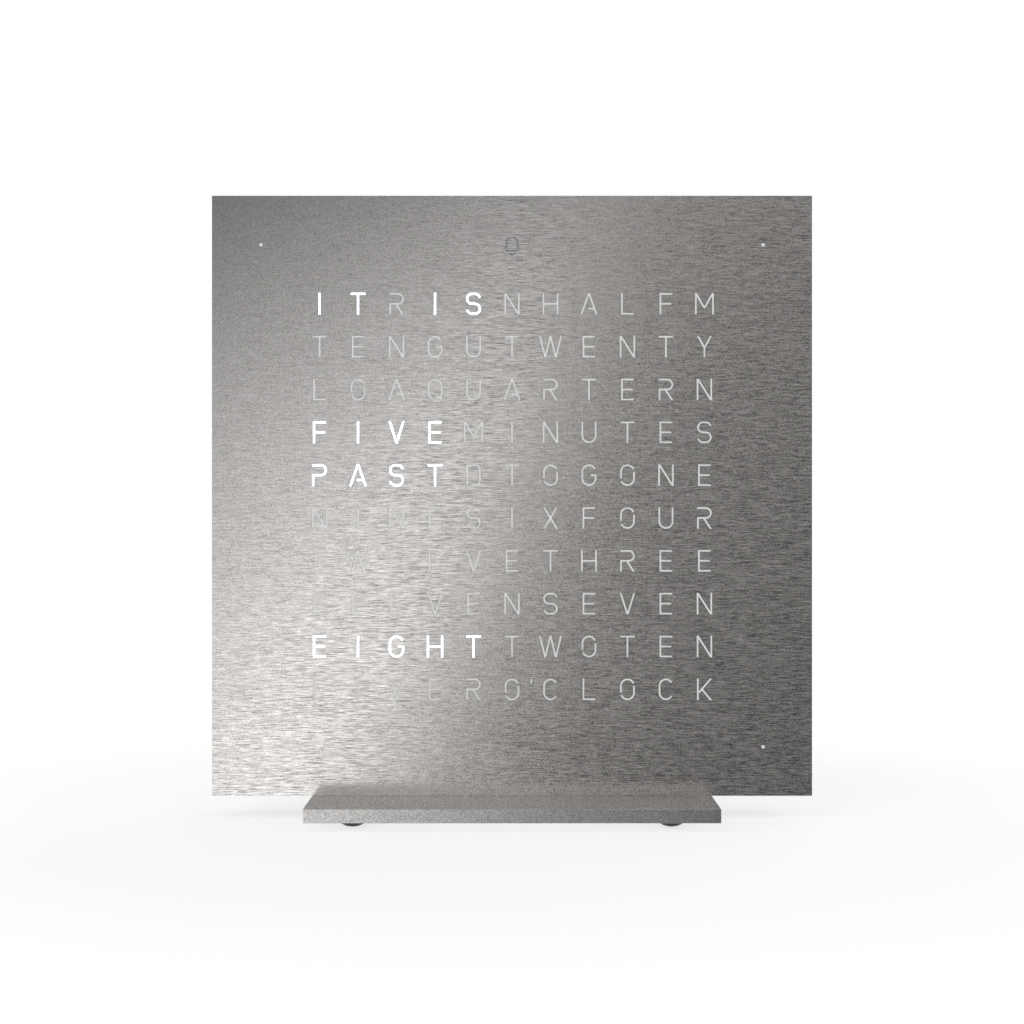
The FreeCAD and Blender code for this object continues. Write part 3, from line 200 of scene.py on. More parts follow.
class Tree:
    """The node tree of a material or a world."""

    def __init__(self, owner):
        owner.use_nodes = True
        self.owner = owner
        self.links = owner.node_tree.links
        self.nodes = owner.node_tree.nodes
        self.nodes.clear()

    def node(self, kind, settings=None, inputs=None, output=0):
        """Adds a node: its settings first, then the values or links of its sockets."""
        made = self.nodes.new(kind)
        for name, value in (settings or {}).items():
            setattr(made, name, value)
        sockets = [socket for socket in made.inputs if socket.enabled]
        for key, value in (inputs or {}).items():
            socket = sockets[key] if isinstance(key, int) else made.inputs[key]
            if isinstance(value, Signal):
                self.links.new(value.socket, socket)
            else:
                socket.default_value = value
        if isinstance(output, str):
            return Signal(self, made.outputs[output])
        outputs = [socket for socket in made.outputs if socket.enabled]
        return Signal(self, outputs[output]) if outputs else None

    def place(self):
        """The surface's place in the clock's own frame, in metres."""
        return self.node("ShaderNodeTexCoord", output="Object")

    def axes(self):
        """The X, Y and Z of the surface's place."""
        parts = self.node("ShaderNodeSeparateXYZ", inputs={0: self.place()}).socket.node
        return [Signal(self, socket) for socket in parts.outputs]

    def noise(self, size, detail=2.0, shift=0.0, turn=(0.0, 0.0, 0.0)):
        """Cloudy noise from 0 to 1, whose blotches have this size, or these along X, Y and Z."""
        if isinstance(size, float):
            size = (size, size, size)
        placed = self.node("ShaderNodeMapping", inputs={
            "Vector": self.place(), "Location": (shift, shift, shift), "Rotation": turn,
            "Scale": tuple(1.0 / length for length in size),
        })
        return self.node("ShaderNodeTexNoise", inputs={
            "Vector": placed, "Scale": 1.0, "Detail": detail, "Roughness": 0.55,
        })

    def pits(self, size, shift=0.0):
        """Rounded pits about as far apart as the size: 0 in their middles, 1 between them."""
        placed = self.node("ShaderNodeMapping", inputs={
            "Vector": self.place(), "Location": (shift, shift, shift),
            "Scale": (1.0 / size, 1.0 / size, 1.0 / size),
        })
        return self.node("ShaderNodeTexVoronoi", {"feature": "SMOOTH_F1"}, {
            "Vector": placed, "Scale": 1.0, "Smoothness": 0.6,
        })

    def blend(self, factor, first, second):
        """Colour from first to second as factor goes from 0 to 1."""
        return self.node("ShaderNodeMix", {"data_type": "RGBA", "clamp_factor": True}, {
            0: factor, 1: opaque(first), 2: opaque(second),
        })

    def vary(self, factor, colour, amount):
        """A colour made darker and lighter by this share as factor goes from 0 to 1."""
        lightest = min(1.0 + amount, 1.0 / max(colour))
        return self.blend(factor, scaled(colour, 1.0 - amount), scaled(colour, lightest))


class Finish(Tree):
    """A procedural material made of one principled shader."""

    def __init__(self, name, **sockets):
        super().__init__(bpy.data.materials.new(name))
        surface = self.node("ShaderNodeBsdfPrincipled")
        self.shader = surface.socket.node
        self.node("ShaderNodeOutputMaterial", inputs={"Surface": surface})
        for socket, value in sockets.items():
            self.drive(socket.replace("_", " ").title(), value)

    def drive(self, socket, value):
        """Sets a socket of the shader to a number or colour, or links a signal to it."""
        if isinstance(value, Signal):
            self.links.new(value.socket, self.shader.inputs[socket])
        else:
            self.shader.inputs[socket].default_value = value

    def look(self, colour, roughness, height, depth):
        """Its colour, its roughness, and bumps this deep where height goes from 0 to 1."""
        self.drive("Base Color", colour)
        self.drive("Roughness", roughness)
        self.drive("Normal", self.node("ShaderNodeBump", inputs={
            "Strength": 1.0, "Distance": depth, "Height": height,
        }))
        return self

    def haze(self, share, roughness):
        """Adds a wider sheen of the same colour and bumps, which takes this share."""
        sharp, metallic = self.shader, self.shader.inputs["Metallic"].default_value
        wide = self.node("ShaderNodeBsdfPrincipled", inputs={
            "Roughness": roughness, "Metallic": metallic,
        })
        for name in ("Base Color", "Normal"):
            self.links.new(sharp.inputs[name].links[0].from_socket, wide.socket.node.inputs[name])
        both = self.node("ShaderNodeMixShader", inputs={
            0: share, 1: Signal(self, sharp.outputs["BSDF"]), 2: wide,
        })
        self.links.new(both.socket, self.nodes["Material Output"].inputs["Surface"])
        return self

    def cover(self, *names):
        """Gives the finish to CAD nodes."""
        for name in names:
            piece = frame["nodes"][name]
            if not piece.data.materials:
                piece.data.materials.append(self.owner)
            for slot in piece.material_slots:
                slot.material = self.owner


# ---------------------------------------------------------------- metal finishes
def light_share(u, v):
    """1 where the letter plate mirrors light and 0 where it mirrors dark.

    The line between them is a cubic curve in v, which leans to the right as it rises.  The
    change across it is a logistic curve in u, softer lower down and most of all at the foot.
    """
    edge = v * EDGE_LEAN - v * v * EDGE_BEND - v * v * v * EDGE_CURL - EDGE_SHIFT
    softness = (v * -SOFTNESS_FALL).exp() * EDGE_SOFTNESS
    softness = softness + (FOOT_REACH - abs(v + FOOT_PLACE)).most(0.0) * FOOT_SOFTNESS
    return 1.0 / (1.0 + ((u - edge) / softness).exp())


def painted_reflection_band(across, up):
    """1 along the letter plate's foot, where it faces the base plate and mirrors it; the steel
    paints this band lighter, as a painted reflection.
    """
    return (up - PLATE_LOW.z).step(*PLATE_REFLECTION_UP) * abs(across).step(*PLATE_REFLECTION_ACROSS)


def brushed_steel(settings):
    """Steel ground along X, with light and shade painted into its colour: strokes painted
    bright where the plate mirrors light and dull where it mirrors dark, strongest at the
    rim of the light and faint along the foot, which is painted lighter as a painted
    reflection of the base plate, and a grain that is painted fainter where the light falls
    and calmer in the dark upper corner.

    The glare is the share of light, more so lower down, painted into the strokes; turn is
    greatest at the rim of the light; busy grows to the lower right and shrinks a little in
    the light; the calm is 1 in the dark upper corner, a painted shade.
    """
    steel = Finish("brushed_steel_plate", metallic=1.0)
    across, _, up = steel.axes()
    length, height = settings.mark_length, settings.mark_height
    u, v = across / PLATE_HALF, (up - PLATE_MIDDLE) / PLATE_HALF
    # painted light: the share of light the plate mirrors, which the lines below paint into the
    # strokes and grain as painted highlight and shade
    light = light_share(u, v)
    painted_glare = light * (0.5 - v * 0.5)
    turn = light * (1.0 - light)
    busy = ((u - v) * 0.49 + 1.12 - light * 0.14).most(0.05)
    painted_shade_calm = (1.0 - light * 2.0).most(0.0) * v.step(0.3, 1.0)
    # painted reflection: the band along the foot that faces the base plate, whose strokes fade
    # and whose colour is painted lighter
    painted_base_reflection = painted_reflection_band(across, up)
    marks = steel.noise((length, length, height), detail=1.0).spread(1.6)
    strokes = steel.noise((length * 0.7, length, height * 1.2), detail=1.0, shift=7.7)
    # strokes painted bright where the light falls and dull where it is dark: painted highlight
    # and painted shade, strongest at the rim of the light
    bright = strokes.step(0.54, 0.70) * (painted_glare * 0.6 + 0.55)
    dull = strokes.step(0.46, 0.30) * (0.85 - painted_glare * 0.7)
    streaks = ((marks - 0.5) * 0.8 + (bright - dull) * 0.45) * busy
    streaks = streaks * (1.0 + turn * (light - 0.5) * 11.0)
    streaks = streaks * (1.0 - painted_base_reflection * 0.7) * settings.mark_strength
    grain = steel.noise(0.00015, detail=1.0, shift=5.3).spread(2.6)
    # grain painted fainter where the light falls and calmer in the dark upper corner: painted
    # light and shade
    speckle = (grain - 0.5) * (1.15 - light * 0.5 - turn * 1.4 - painted_shade_calm * 0.36)
    clouds = steel.noise((0.05, 0.05, 0.03), shift=1.7)
    tone = streaks.most(-0.45).least(0.45) + speckle * settings.grain_strength
    # the foot's colour painted lighter: a painted reflection of the base plate
    tone = tone + painted_base_reflection * 0.1 + 0.5
    border = (PLATE_HALF - abs(across)).least(PLATE_HALF - abs(up - PLATE_MIDDLE))
    rubbed = 1.0 - border.step(*PLATE_RUBBED)
    colour = steel.vary(tone, settings.plate_colour, 0.73)
    colour = steel.blend(rubbed * 0.3, colour, RUBBED_STEEL)
    rough = settings.plate_roughness + (marks - 0.5) * 0.03 + (clouds - 0.5) * 0.02
    steel.look(colour, rough, marks * 0.7 + grain * 0.3, settings.mark_depth)
    return steel.haze(settings.plate_haze, roughness=rough + 0.26)


def blasted_steel(settings):
    """Steel blasted with glass beads: fine round pits, faint clouds, smoother cut edges with a
    thin line of painted shade along their corners, and rubbed corners."""
    steel = Finish("blasted_steel", metallic=1.0)
    across, through, up = steel.axes()
    pits = steel.pits(0.00022)
    grain = steel.noise((0.00022, 0.0007, 0.00015), shift=2.3).spread(3.2)
    cut_grain = steel.noise((0.0002, 0.0004, 0.00015), shift=2.3).spread(3.2)
    clouds = steel.noise(0.02, detail=3.0, shift=4.1)
    side, front = BASE_HIGH.x - abs(across), BASE_HIGH.y - abs(through)
    rubbed = 1.0 - side.most(front).step(*BASE_RUBBED)
    cut = 1.0 - side.least(front).step(*BASE_CUT)
    face = abs(up - BASE_HIGH.z).least(abs(up - BASE_LOW.z))
    # painted shade: a thin dark line where the top and bottom faces meet the cut edges
    painted_corner_shade = (1.0 - side.least(front).step(*BASE_CORNER_SHADE)) * (1.0 - face.step(*BASE_CORNER_SHADE))
    colour = steel.blend(
        cut, steel.vary(grain * 0.8 + clouds * 0.2, settings.base_colour, 0.7),
        steel.vary(cut_grain * 0.8 + clouds * 0.2, settings.edge_colour, 0.52))
    colour = steel.blend(rubbed * 0.4, colour, RUBBED_STEEL)
    colour = steel.blend(painted_corner_shade, colour, CORNER_SHADE_COLOUR)
    rough = settings.base_roughness + (grain - 0.5) * 0.08 + (clouds - 0.5) * 0.05 - rubbed * 0.06
    rough = rough - cut * settings.edge_smoothness
    return steel.look(colour, rough, pits * 0.6 + grain * 0.4, depth=0.000012)


def ground_steel(name, colour, roughness, turn):
    """Small steel parts with straight grinding marks at an angle."""
    steel = Finish(name, metallic=1.0)
    marks = steel.noise(
        (0.004, 0.004, 0.00012), detail=3.0, shift=0.7, turn=(0.0, turn, 0.0),
    ).spread(1.6)
    stains = steel.noise(0.0015, detail=3.0, shift=6.1)
    colour = steel.vary(marks * 0.6 + stains * 0.4, colour, 0.18)
    rough = roughness + (marks - 0.5) * 0.12 + (stains - 0.5) * 0.1
    return steel.look(colour, rough, marks, depth=0.000006)


def plated_metal(name, colour, tint, roughness):
    """Plating over metal: a cloudy tint, small scuffs and a faint orange peel."""
    metal = Finish(name, metallic=1.0)
    clouds = metal.noise(0.0022, detail=3.0, shift=1.1).spread(1.5)
    scuffs = metal.noise((0.0016, 0.0001, 0.0004), shift=8.9).step(0.60, 0.70)
    peel = metal.noise(0.00035, shift=3.7)
    shaded = metal.blend(clouds, colour, tint)
    shaded = metal.blend(scuffs * 0.5, shaded, scaled(colour, 0.7))
    rough = roughness + (clouds - 0.5) * 0.1 + scuffs * 0.2
    return metal.look(shaded, rough, peel, depth=0.000005)


def black_oxide(name, colour, bright):
    """Blackened steel, rubbed through to the metal where it is touched."""
    metal = Finish(name, metallic=0.85)
    bloom = metal.noise(0.0012, detail=3.0, shift=4.7).spread(1.6)
    rubbed = metal.noise(0.0005, detail=3.0, shift=9.3).step(0.60, 0.72)
    shaded = metal.blend(rubbed * 0.55, metal.vary(bloom, colour, 0.35), bright)
    rough = 0.42 + (bloom - 0.5) * 0.16 - rubbed * 0.12
    return metal.look(shaded, rough, bloom, depth=0.00001)


def milled_aluminium(name, colour):
    """Aluminium with the curved marks of a milling cutter and a bead-blasted bloom."""
    metal = Finish(name, metallic=1.0)
    feed, cutter_radius = 0.0004, 0.03
    across, through, _ = metal.axes()
    along = through + cutter_radius
    marks = abs(((across * across + along * along) ** 0.5).repeat(feed)) / (feed / 2)
    bloom = metal.noise((0.004, 0.004, 0.002), detail=3.0, shift=2.9)
    grain = metal.noise(0.00025, shift=6.6)
    colour = metal.vary(marks * 0.35 + bloom * 0.35 + grain * 0.3, colour, 0.16)
    rough = 0.34 + (bloom - 0.5) * 0.12
    return metal.look(colour, rough, marks * 0.6 + grain * 0.4, depth=0.000008)


def turned_brass(name, colour):
    """Brass turned on a lathe: fine level rings, with a brown bloom."""
    metal = Finish(name, metallic=1.0)
    feed = 0.00022
    _, _, up = metal.axes()
    rings = abs(up.repeat(feed)) / (feed / 2)
    bloom = metal.noise(0.001, detail=3.0, shift=5.5).spread(1.5)
    shaded = metal.blend(bloom * 0.5, metal.vary(rings, colour, 0.15), BROWN_BLOOM)
    return metal.look(shaded, 0.26 + bloom * 0.16, rings, depth=0.00001)


# ---------------------------------------------------------------- resins and plastics
def cast_resin(name, colour, amount=0.05):
    """Milky casting resin: faint clouds, tiny bubbles and a skin that dips a little."""
    resin = Finish(
        name, subsurface_weight=0.15, subsurface_radius=(0.001, 0.001, 0.001),
        subsurface_scale=0.3)
    clouds = resin.noise(0.0009, detail=3.0, shift=1.9).spread(1.5)
    bubbles = 1.0 - resin.pits(0.0007, shift=4.4).step(0.02, 0.12)
    skin = resin.noise(0.0005, shift=7.3)
    shaded = resin.blend(bubbles * 0.25, resin.vary(clouds, colour, amount), scaled(colour, 0.8))
    rough = 0.38 + (clouds - 0.5) * 0.14 + bubbles * 0.1
    return resin.look(shaded, rough, skin, depth=0.00001)


def glowing_resin(settings):
    """The same resin, lit from behind in the clock, here with a painted glow: it emits light
    itself, with its clouds faint in the light.
    """
    resin = cast_resin("lit_letter_resin", SLOT_COLOUR["lit_letter_resin"], amount=0.02)
    clouds = resin.noise(0.0009, detail=3.0, shift=1.9).spread(1.5)
    # painted glow: an emission that stands in for the LEDs' light through the letters
    resin.drive("Emission Color", resin.vary(clouds, settings.glow_colour, 0.03))
    resin.drive("Emission Strength", settings.glow_strength)
    return resin


def opal_film(name, colour):
    """Opal sheet: an even milky tone with a fine satin skin and the odd speck of dust."""
    film = Finish(name)
    clouds = film.noise(0.01, shift=3.3)
    satin = film.noise(0.0002, shift=6.9)
    dust = film.noise(0.0006, detail=1.0, shift=2.2).step(0.70, 0.76)
    shaded = film.blend(dust * 0.4, film.vary(clouds, colour, 0.03), FILM_DUST)
    rough = 0.5 + (clouds - 0.5) * 0.1 + dust * 0.2
    return film.look(shaded, rough, satin, depth=0.000006)


def moulded_plastic(name, colour, roughness, grain_size, depth, amount=0.12):
    """Injection-moulded plastic: a spark-eroded grain, flow clouds, light scuffs and dust."""
    plastic = Finish(name)
    grain = plastic.pits(grain_size)
    fine = plastic.noise(grain_size * 0.6, shift=2.7)
    flow = plastic.noise((0.018, 0.018, 0.009), detail=3.0, shift=5.9)
    scuffs = plastic.noise(
        (0.006, 0.006, 0.0004), shift=8.1, turn=(0.0, 0.5, 0.0),
    ).step(0.66, 0.74)
    dust = plastic.noise(0.0006, detail=1.0, shift=4.3).step(0.70, 0.78)
    shaded = plastic.vary(fine * 0.4 + grain * 0.3 + flow.spread(1.8) * 0.3, colour, amount)
    shaded = plastic.blend(scuffs * 0.25, shaded, scaled(colour, 1.8))
    shaded = plastic.blend(dust * 0.15, shaded, PLASTIC_DUST)
    rough = roughness + (grain - 0.5) * 0.14 + (flow - 0.5) * 0.2 - scuffs * 0.1 + dust * 0.1
    return plastic.look(shaded, rough, grain * 0.7 + fine * 0.3, depth)


def finger_polished(name, colour):
    """Satin plastic of the three buttons, polished in the middle of each by fingers."""
    plastic = Finish(name)
    across, _, up = plastic.axes()
    beside, above = across.repeat(BUTTON_PITCH), up - BUTTON_MIDDLE
    reach = (beside * beside + above * above) ** 0.5
    polished = 1.0 - reach.step(*BUTTON_POLISH)
    satin = plastic.noise(0.00018, shift=1.3)
    clouds = plastic.noise(0.002, detail=3.0, shift=4.9)
    shaded = plastic.vary(satin * 0.5 + clouds * 0.5, colour, 0.15)
    shaded = plastic.blend(polished * 0.3, shaded, scaled(colour, 0.6))
    rough = 0.46 + (clouds - 0.5) * 0.12 - polished * 0.16
    return plastic.look(shaded, rough, satin, depth=0.000008)


def foot_rubber(name, colour):
    """Moulded rubber: a matt skin with fine pores, and feet rubbed grey underneath."""
    rubber = Finish(name)
    _, _, up = rubber.axes()
    pores = rubber.pits(0.0003)
    dust = rubber.noise(0.0014, detail=3.0, shift=3.9).spread(1.6)
    worn = 1.0 - up.step(*FOOT_WORN)
    shaded = rubber.blend(dust * 0.15, rubber.vary(pores, colour, 0.15), RUBBER_DUST)
    shaded = rubber.blend(worn * 0.4, shaded, WORN_RUBBER)
    rough = 0.72 + (dust - 0.5) * 0.2 - worn * 0.1
    return rubber.look(shaded, rough, pores, depth=0.000015)


# ---------------------------------------------------------------- electronics
def led_package(name, colour):
    """White LED cases with a yellow phosphor window and silvery ends."""
    led = Finish(name)
    across, _, up = led.axes()
    beside = abs(across.repeat(LETTER_PITCH_U))
    above = abs((up - FIELD_MIDDLE).repeat(LETTER_PITCH_V, LETTER_PITCH_V / 2))
    window = (1.0 - beside.step(*LED_WINDOW_ACROSS)) * (1.0 - above.step(*LED_WINDOW_UP))
    ends = beside.step(*LED_ENDS_INNER) * (1.0 - beside.step(*LED_ENDS_OUTER))
    cloud = led.noise(0.0003, shift=2.1)
    shaded = led.blend(window, led.vary(cloud, LED_CASE, 0.06), led.vary(cloud, colour, 0.1))
    shaded = led.blend(ends * 0.8, shaded, LED_METAL)
    rough = 0.35 + (cloud - 0.5) * 0.1 - window * 0.15
    return led.look(shaded, rough, cloud, depth=0.000008)


def solder_mask(name, colour):
    """Circuit board: copper tracks under green lacquer, with tinned through-holes."""
    board = Finish(name, coat_weight=0.5, coat_roughness=0.12)
    across, _, up = board.axes()

    def tracks(along, beside, pitch, shift):
        """Lanes this far apart, each a row of tracks about as long as the track length."""
        track_length, row_step = 0.011, 7.31
        row = board.node("ShaderNodeMath", {"operation": "ROUND"}, {0: beside / pitch})
        lane = board.node("ShaderNodeCombineXYZ", inputs={
            0: along / track_length, 1: row * row_step, 2: shift,
        })
        present = board.node("ShaderNodeTexNoise", inputs={
            "Vector": lane, "Scale": 1.0, "Detail": 1.0,
        }).step(0.50, 0.52)
        return present * (1.0 - abs(beside.repeat(pitch)).step(*TRACK_HALF))

    copper = tracks(across, up, pitch=0.0011, shift=1.3)
    copper = copper.most(tracks(up, across, pitch=0.0013, shift=6.1))
    holes = 1.0 - board.pits(0.0042, shift=2.6).step(0.05, 0.08)
    weave = board.noise(0.0008, shift=4.2)
    shaded = board.blend(copper * 0.8, board.vary(weave, colour, 0.15), scaled(colour, 1.9))
    shaded = board.blend(holes, shaded, TINNED_HOLE)
    rough = 0.36 + (weave - 0.5) * 0.12 - holes * 0.1
    return board.look(shaded, rough, copper * 0.8 + weave * 0.2, depth=0.00003)


# ---------------------------------------------------------------- settings
def colour_setting(name, description, colour):
    return bpy.props.FloatVectorProperty(
        name=name, description=description, default=tuple(colour), subtype="COLOR", size=3,
        min=0.0, max=1.0,
    )


def length_setting(name, description, length):
    return bpy.props.FloatProperty(
        name=name, description=description, default=length, min=0.0, subtype="DISTANCE",
        unit="LENGTH", precision=6,
    )


def share_setting(name, description, share, most=1.0):
    return bpy.props.FloatProperty(
        name=name, description=description, default=share, min=0.0, max=most, subtype="FACTOR",
    )


class SteelSettings(bpy.types.PropertyGroup):
    """The letter plate and the base plate."""

    plate_colour: colour_setting(
        "Letter plate", "Colour of the brushed steel", SLOT_COLOUR["brushed_steel_plate"])
    plate_roughness: share_setting("Plate roughness", "Roughness of the brushed steel", 0.10)
    plate_haze: share_setting("Plate haze", "Share of the brushed steel's wider sheen", 0.3)
    mark_length: length_setting("Mark length", "Length of the brushing marks", 0.0034)
    mark_height: length_setting("Mark height", "Height of the brushing marks", 0.00012)
    mark_depth: length_setting("Mark depth", "Depth of the brushing marks", 0.000002)
    mark_strength: share_setting(
        "Mark strength", "How far the marks change the colour", 0.82, most=2.0)
    grain_strength: share_setting(
        "Grain strength", "How far the grain changes the colour", 0.9, most=2.0)
    base_colour: colour_setting(
        "Base plate", "Colour of the blasted steel", SLOT_COLOUR["blasted_steel"])
    base_roughness: share_setting("Base roughness", "Roughness of the blasted steel", 0.46)
    edge_colour: colour_setting(
        "Base plate's edges", "Colour of the base plate's cut edges", (0.546, 0.531, 0.519))
    edge_smoothness: share_setting(
        "Edge smoothness", "How much smoother the base plate's cut edges are", 0.17)


class LetterSettings(bpy.types.PropertyGroup):
    """The fillings of the cut-out letters."""

    dark_colour: colour_setting(
        "Unlit letters", "Colour of the fillings that aren't lit", (0.906, 0.901, 0.891))
    glow_colour: colour_setting(
        "Lit letters", "Colour of the light in the lit words", (0.76, 0.79, 1.0))
    glow_strength: bpy.props.FloatProperty(
        name="Glow", description="Strength of the light in the lit words", default=3.0, min=0.0)
    sign_colour: colour_setting(
        "Alarm sign", "Colour of the bell's filling while the alarm is off",
        SLOT_COLOUR["dark_resin"])


class HousingSettings(bpy.types.PropertyGroup):
    """The housing, its rear cover and its buttons."""

    housing_colour: colour_setting(
        "Housing", "Colour of the housing and rear cover", SLOT_COLOUR["housing_plastic"])
    button_colour: colour_setting(
        "Buttons", "Colour of the three buttons", SLOT_COLOUR["button_plastic"])
    grain_size: length_setting("Grain size", "Distance between the grains of the housing", 0.0006)
    grain_depth: length_setting("Grain depth", "Depth of the grains of the housing", 0.00005)


class StandSettings(bpy.types.PropertyGroup):
    """What carries the clock."""

    spacer_colour: colour_setting(
        "Spacer", "Colour of the aluminium spacer", SLOT_COLOUR["spacer_aluminium"])
    foot_colour: colour_setting("Feet", "Colour of the rubber feet", SLOT_COLOUR["foot_rubber"])


class StudioSettings(bpy.types.PropertyGroup):
    """Camera, floor and light."""

    camera_distance: length_setting("Camera distance", "Camera to the letter plate", 0.43)
    camera_height: length_setting("Camera height", "Camera above the table", 0.0690)
    focal_length: bpy.props.FloatProperty(
        name="Focal length", description="Focal length of the camera in millimetres",
        default=67.2, min=10.0, unit="CAMERA")
    floor_colour: colour_setting("Floor", "Colour of the floor", (0.97, 0.97, 0.97))
    floor_whiteness: share_setting(
        "Floor whiteness", "How far the floor fades to white for the camera", 0.75)
    screen_distance: length_setting(
        "Screen distance", "Shaded screen that the steel mirrors, to the letter plate", 0.3)
    screen_strength: bpy.props.FloatProperty(
        name="Screen strength", description="Brightness of the shaded screen",
        default=1.0, min=0.0)
    ambient: share_setting("Ambient", "Light from all round on matt surfaces", 0.72)
    lamp_power: bpy.props.FloatProperty(
        name="Lamp power", description="Power of each of the two soft lamps in watts",
        default=2.2, min=0.0, unit="POWER")


# ---------------------------------------------------------------- operators
class WORDCLOCK_OT_steel_plates(bpy.types.Operator):
    """Finish the brushed letter plate and the blasted base plate"""

    bl_idname = "wordclock.steel_plates"
    bl_label = "Steel plates"

    def execute(self, context):
        settings = context.scene.wordclock_steel
        brushed_steel(settings).cover("front_cover")
        blasted_steel(settings).cover("base_plate")
        return {"FINISHED"}


class WORDCLOCK_OT_letters(bpy.types.Operator):
    """Finish the fillings of the letters, the minute dots and the alarm sign"""

    bl_idname = "wordclock.letters"
    bl_label = "Letters"

    def execute(self, context):
        settings = context.scene.wordclock_letters
        cast_resin("letter_resin", settings.dark_colour).cover(*DARK_WORDS, "minute_dots")
        glowing_resin(settings).cover(*LIT_WORDS)
        cast_resin("dark_resin", settings.sign_colour, amount=0.15).cover("alarm_sign")
        return {"FINISHED"}


class WORDCLOCK_OT_light_box(bpy.types.Operator):
    """Finish what lies behind the letter plate: film, baffle, LED board and magnets"""

    bl_idname = "wordclock.light_box"
    bl_label = "Light box"

    def execute(self, context):
        opal_film("diffuser_film", SLOT_COLOUR["diffuser_film"]).cover("diffuser_sheet")
        ground_steel(
            "keeper_steel", SLOT_COLOUR["keeper_steel"], roughness=0.32, turn=0.6,
        ).cover("keeper_discs")
        plated_metal(
            "nickel_plating", SLOT_COLOUR["nickel_plating"], tint=(0.66, 0.63, 0.56),
            roughness=0.16,
        ).cover("magnets", "coin_cell")
        moulded_plastic(
            "white_plastic", SLOT_COLOUR["white_plastic"], roughness=0.5, grain_size=0.0004,
            depth=0.00001, amount=0.04,
        ).cover("light_baffle")
        led_package("led_resin", SLOT_COLOUR["led_resin"]).cover("leds")
        solder_mask(
            "circuit_board", SLOT_COLOUR["circuit_board"],
        ).cover("led_board", "control_board")
        plated_metal(
            "screw_steel", SLOT_COLOUR["screw_steel"], tint=(0.50, 0.52, 0.46), roughness=0.28,
        ).cover("led_board_screws", "control_board_screws", "base_screws")
        return {"FINISHED"}


class WORDCLOCK_OT_electronics(bpy.types.Operator):
    """Finish the chips, connectors, cell holder, speaker and power socket"""

    bl_idname = "wordclock.electronics"
    bl_label = "Electronics"

    def execute(self, context):
        moulded_plastic(
            "chip_plastic", SLOT_COLOUR["chip_plastic"], roughness=0.55, grain_size=0.00012,
            depth=0.000008, amount=0.2,
        ).cover("led_driver_chips", "control_chips")
        moulded_plastic(
            "connector_plastic", SLOT_COLOUR["connector_plastic"], roughness=0.42,
            grain_size=0.0003, depth=0.00001, amount=0.15,
        ).cover("board_connector", "coin_cell_holder", "power_socket_tongue", "switch_cases")
        moulded_plastic(
            "plunger_plastic", SLOT_COLOUR["plunger_plastic"], roughness=0.4,
            grain_size=0.0003, depth=0.000008,
        ).cover("set_switch_plunger", "alarm_switch_plunger", "light_switch_plunger")
        black_oxide(
            "speaker_steel", SLOT_COLOUR["speaker_steel"], bright=(0.3, 0.3, 0.3),
        ).cover("speaker")
        plated_metal(
            "socket_steel", SLOT_COLOUR["socket_steel"], tint=(0.60, 0.60, 0.61),
            roughness=0.24,
        ).cover("power_socket")
        return {"FINISHED"}


class WORDCLOCK_OT_housing(bpy.types.Operator):
    """Finish the housing, its rear cover, the cover's screws and the buttons"""

    bl_idname = "wordclock.housing"
    bl_label = "Housing"

    def execute(self, context):
        settings = context.scene.wordclock_housing
        moulded_plastic(
            "housing_plastic", settings.housing_colour, roughness=0.46,
            grain_size=settings.grain_size, depth=settings.grain_depth, amount=0.35,
        ).cover("housing_frame", "rear_cover")
        finger_polished("button_plastic", settings.button_colour).cover(
            "set_button", "alarm_button", "light_button")
        black_oxide(
            "black_screw_steel", SLOT_COLOUR["black_screw_steel"], bright=(0.32, 0.31, 0.30),
        ).cover("rear_cover_screws")
        return {"FINISHED"}


class WORDCLOCK_OT_stand(bpy.types.Operator):
    """Finish the spacer, its inserts and the rubber feet"""

    bl_idname = "wordclock.stand"
    bl_label = "Stand"

    def execute(self, context):
        settings = context.scene.wordclock_stand
        milled_aluminium("spacer_aluminium", settings.spacer_colour).cover("stand_spacer")
        turned_brass("insert_brass", SLOT_COLOUR["insert_brass"]).cover("base_inserts")
        foot_rubber("foot_rubber", settings.foot_colour).cover("rubber_feet")
        return {"FINISHED"}


# ---------------------------------------------------------------- studio
def stage_sheet(name, corners, material):
    """A flat four-sided sheet of the studio."""
    mesh = bpy.data.meshes.new(name)
    mesh.from_pydata(corners, [], [(0, 1, 2, 3)])
    mesh.materials.append(material)
    sheet = bpy.data.objects.new(name, mesh)
    bpy.context.scene.collection.objects.link(sheet)
    return sheet


def floor_sheet(settings):
    """A pale round floor that fades into the white behind it."""
    paint = Tree(bpy.data.materials.new("studio_floor"))
    across, through, _ = paint.axes()
    reach = (across * across + through * through) ** 0.5
    matt = paint.node("ShaderNodeBsdfDiffuse", inputs={"Color": opaque(settings.floor_colour)})
    clear = paint.node("ShaderNodeBsdfTransparent")
    white = paint.node("ShaderNodeEmission", inputs={"Color": opaque(WHITE), "Strength": 1.0})
    seen = paint.node("ShaderNodeLightPath", output="Is Camera Ray") * settings.floor_whiteness
    pale = paint.node("ShaderNodeMixShader", inputs={0: seen, 1: matt, 2: white})
    border = reach.step(*FLOOR_FADE)
    faded = paint.node("ShaderNodeMixShader", inputs={0: border, 1: pale, 2: clear})
    paint.node("ShaderNodeOutputMaterial", inputs={"Surface": faded})
    floor = stage_sheet("studio_floor", [
        (-FLOOR_HALF, -FLOOR_HALF, 0.0), (FLOOR_HALF, -FLOOR_HALF, 0.0),
        (FLOOR_HALF, FLOOR_HALF, 0.0), (-FLOOR_HALF, FLOOR_HALF, 0.0),
    ], paint.owner)
    floor.visible_glossy = False


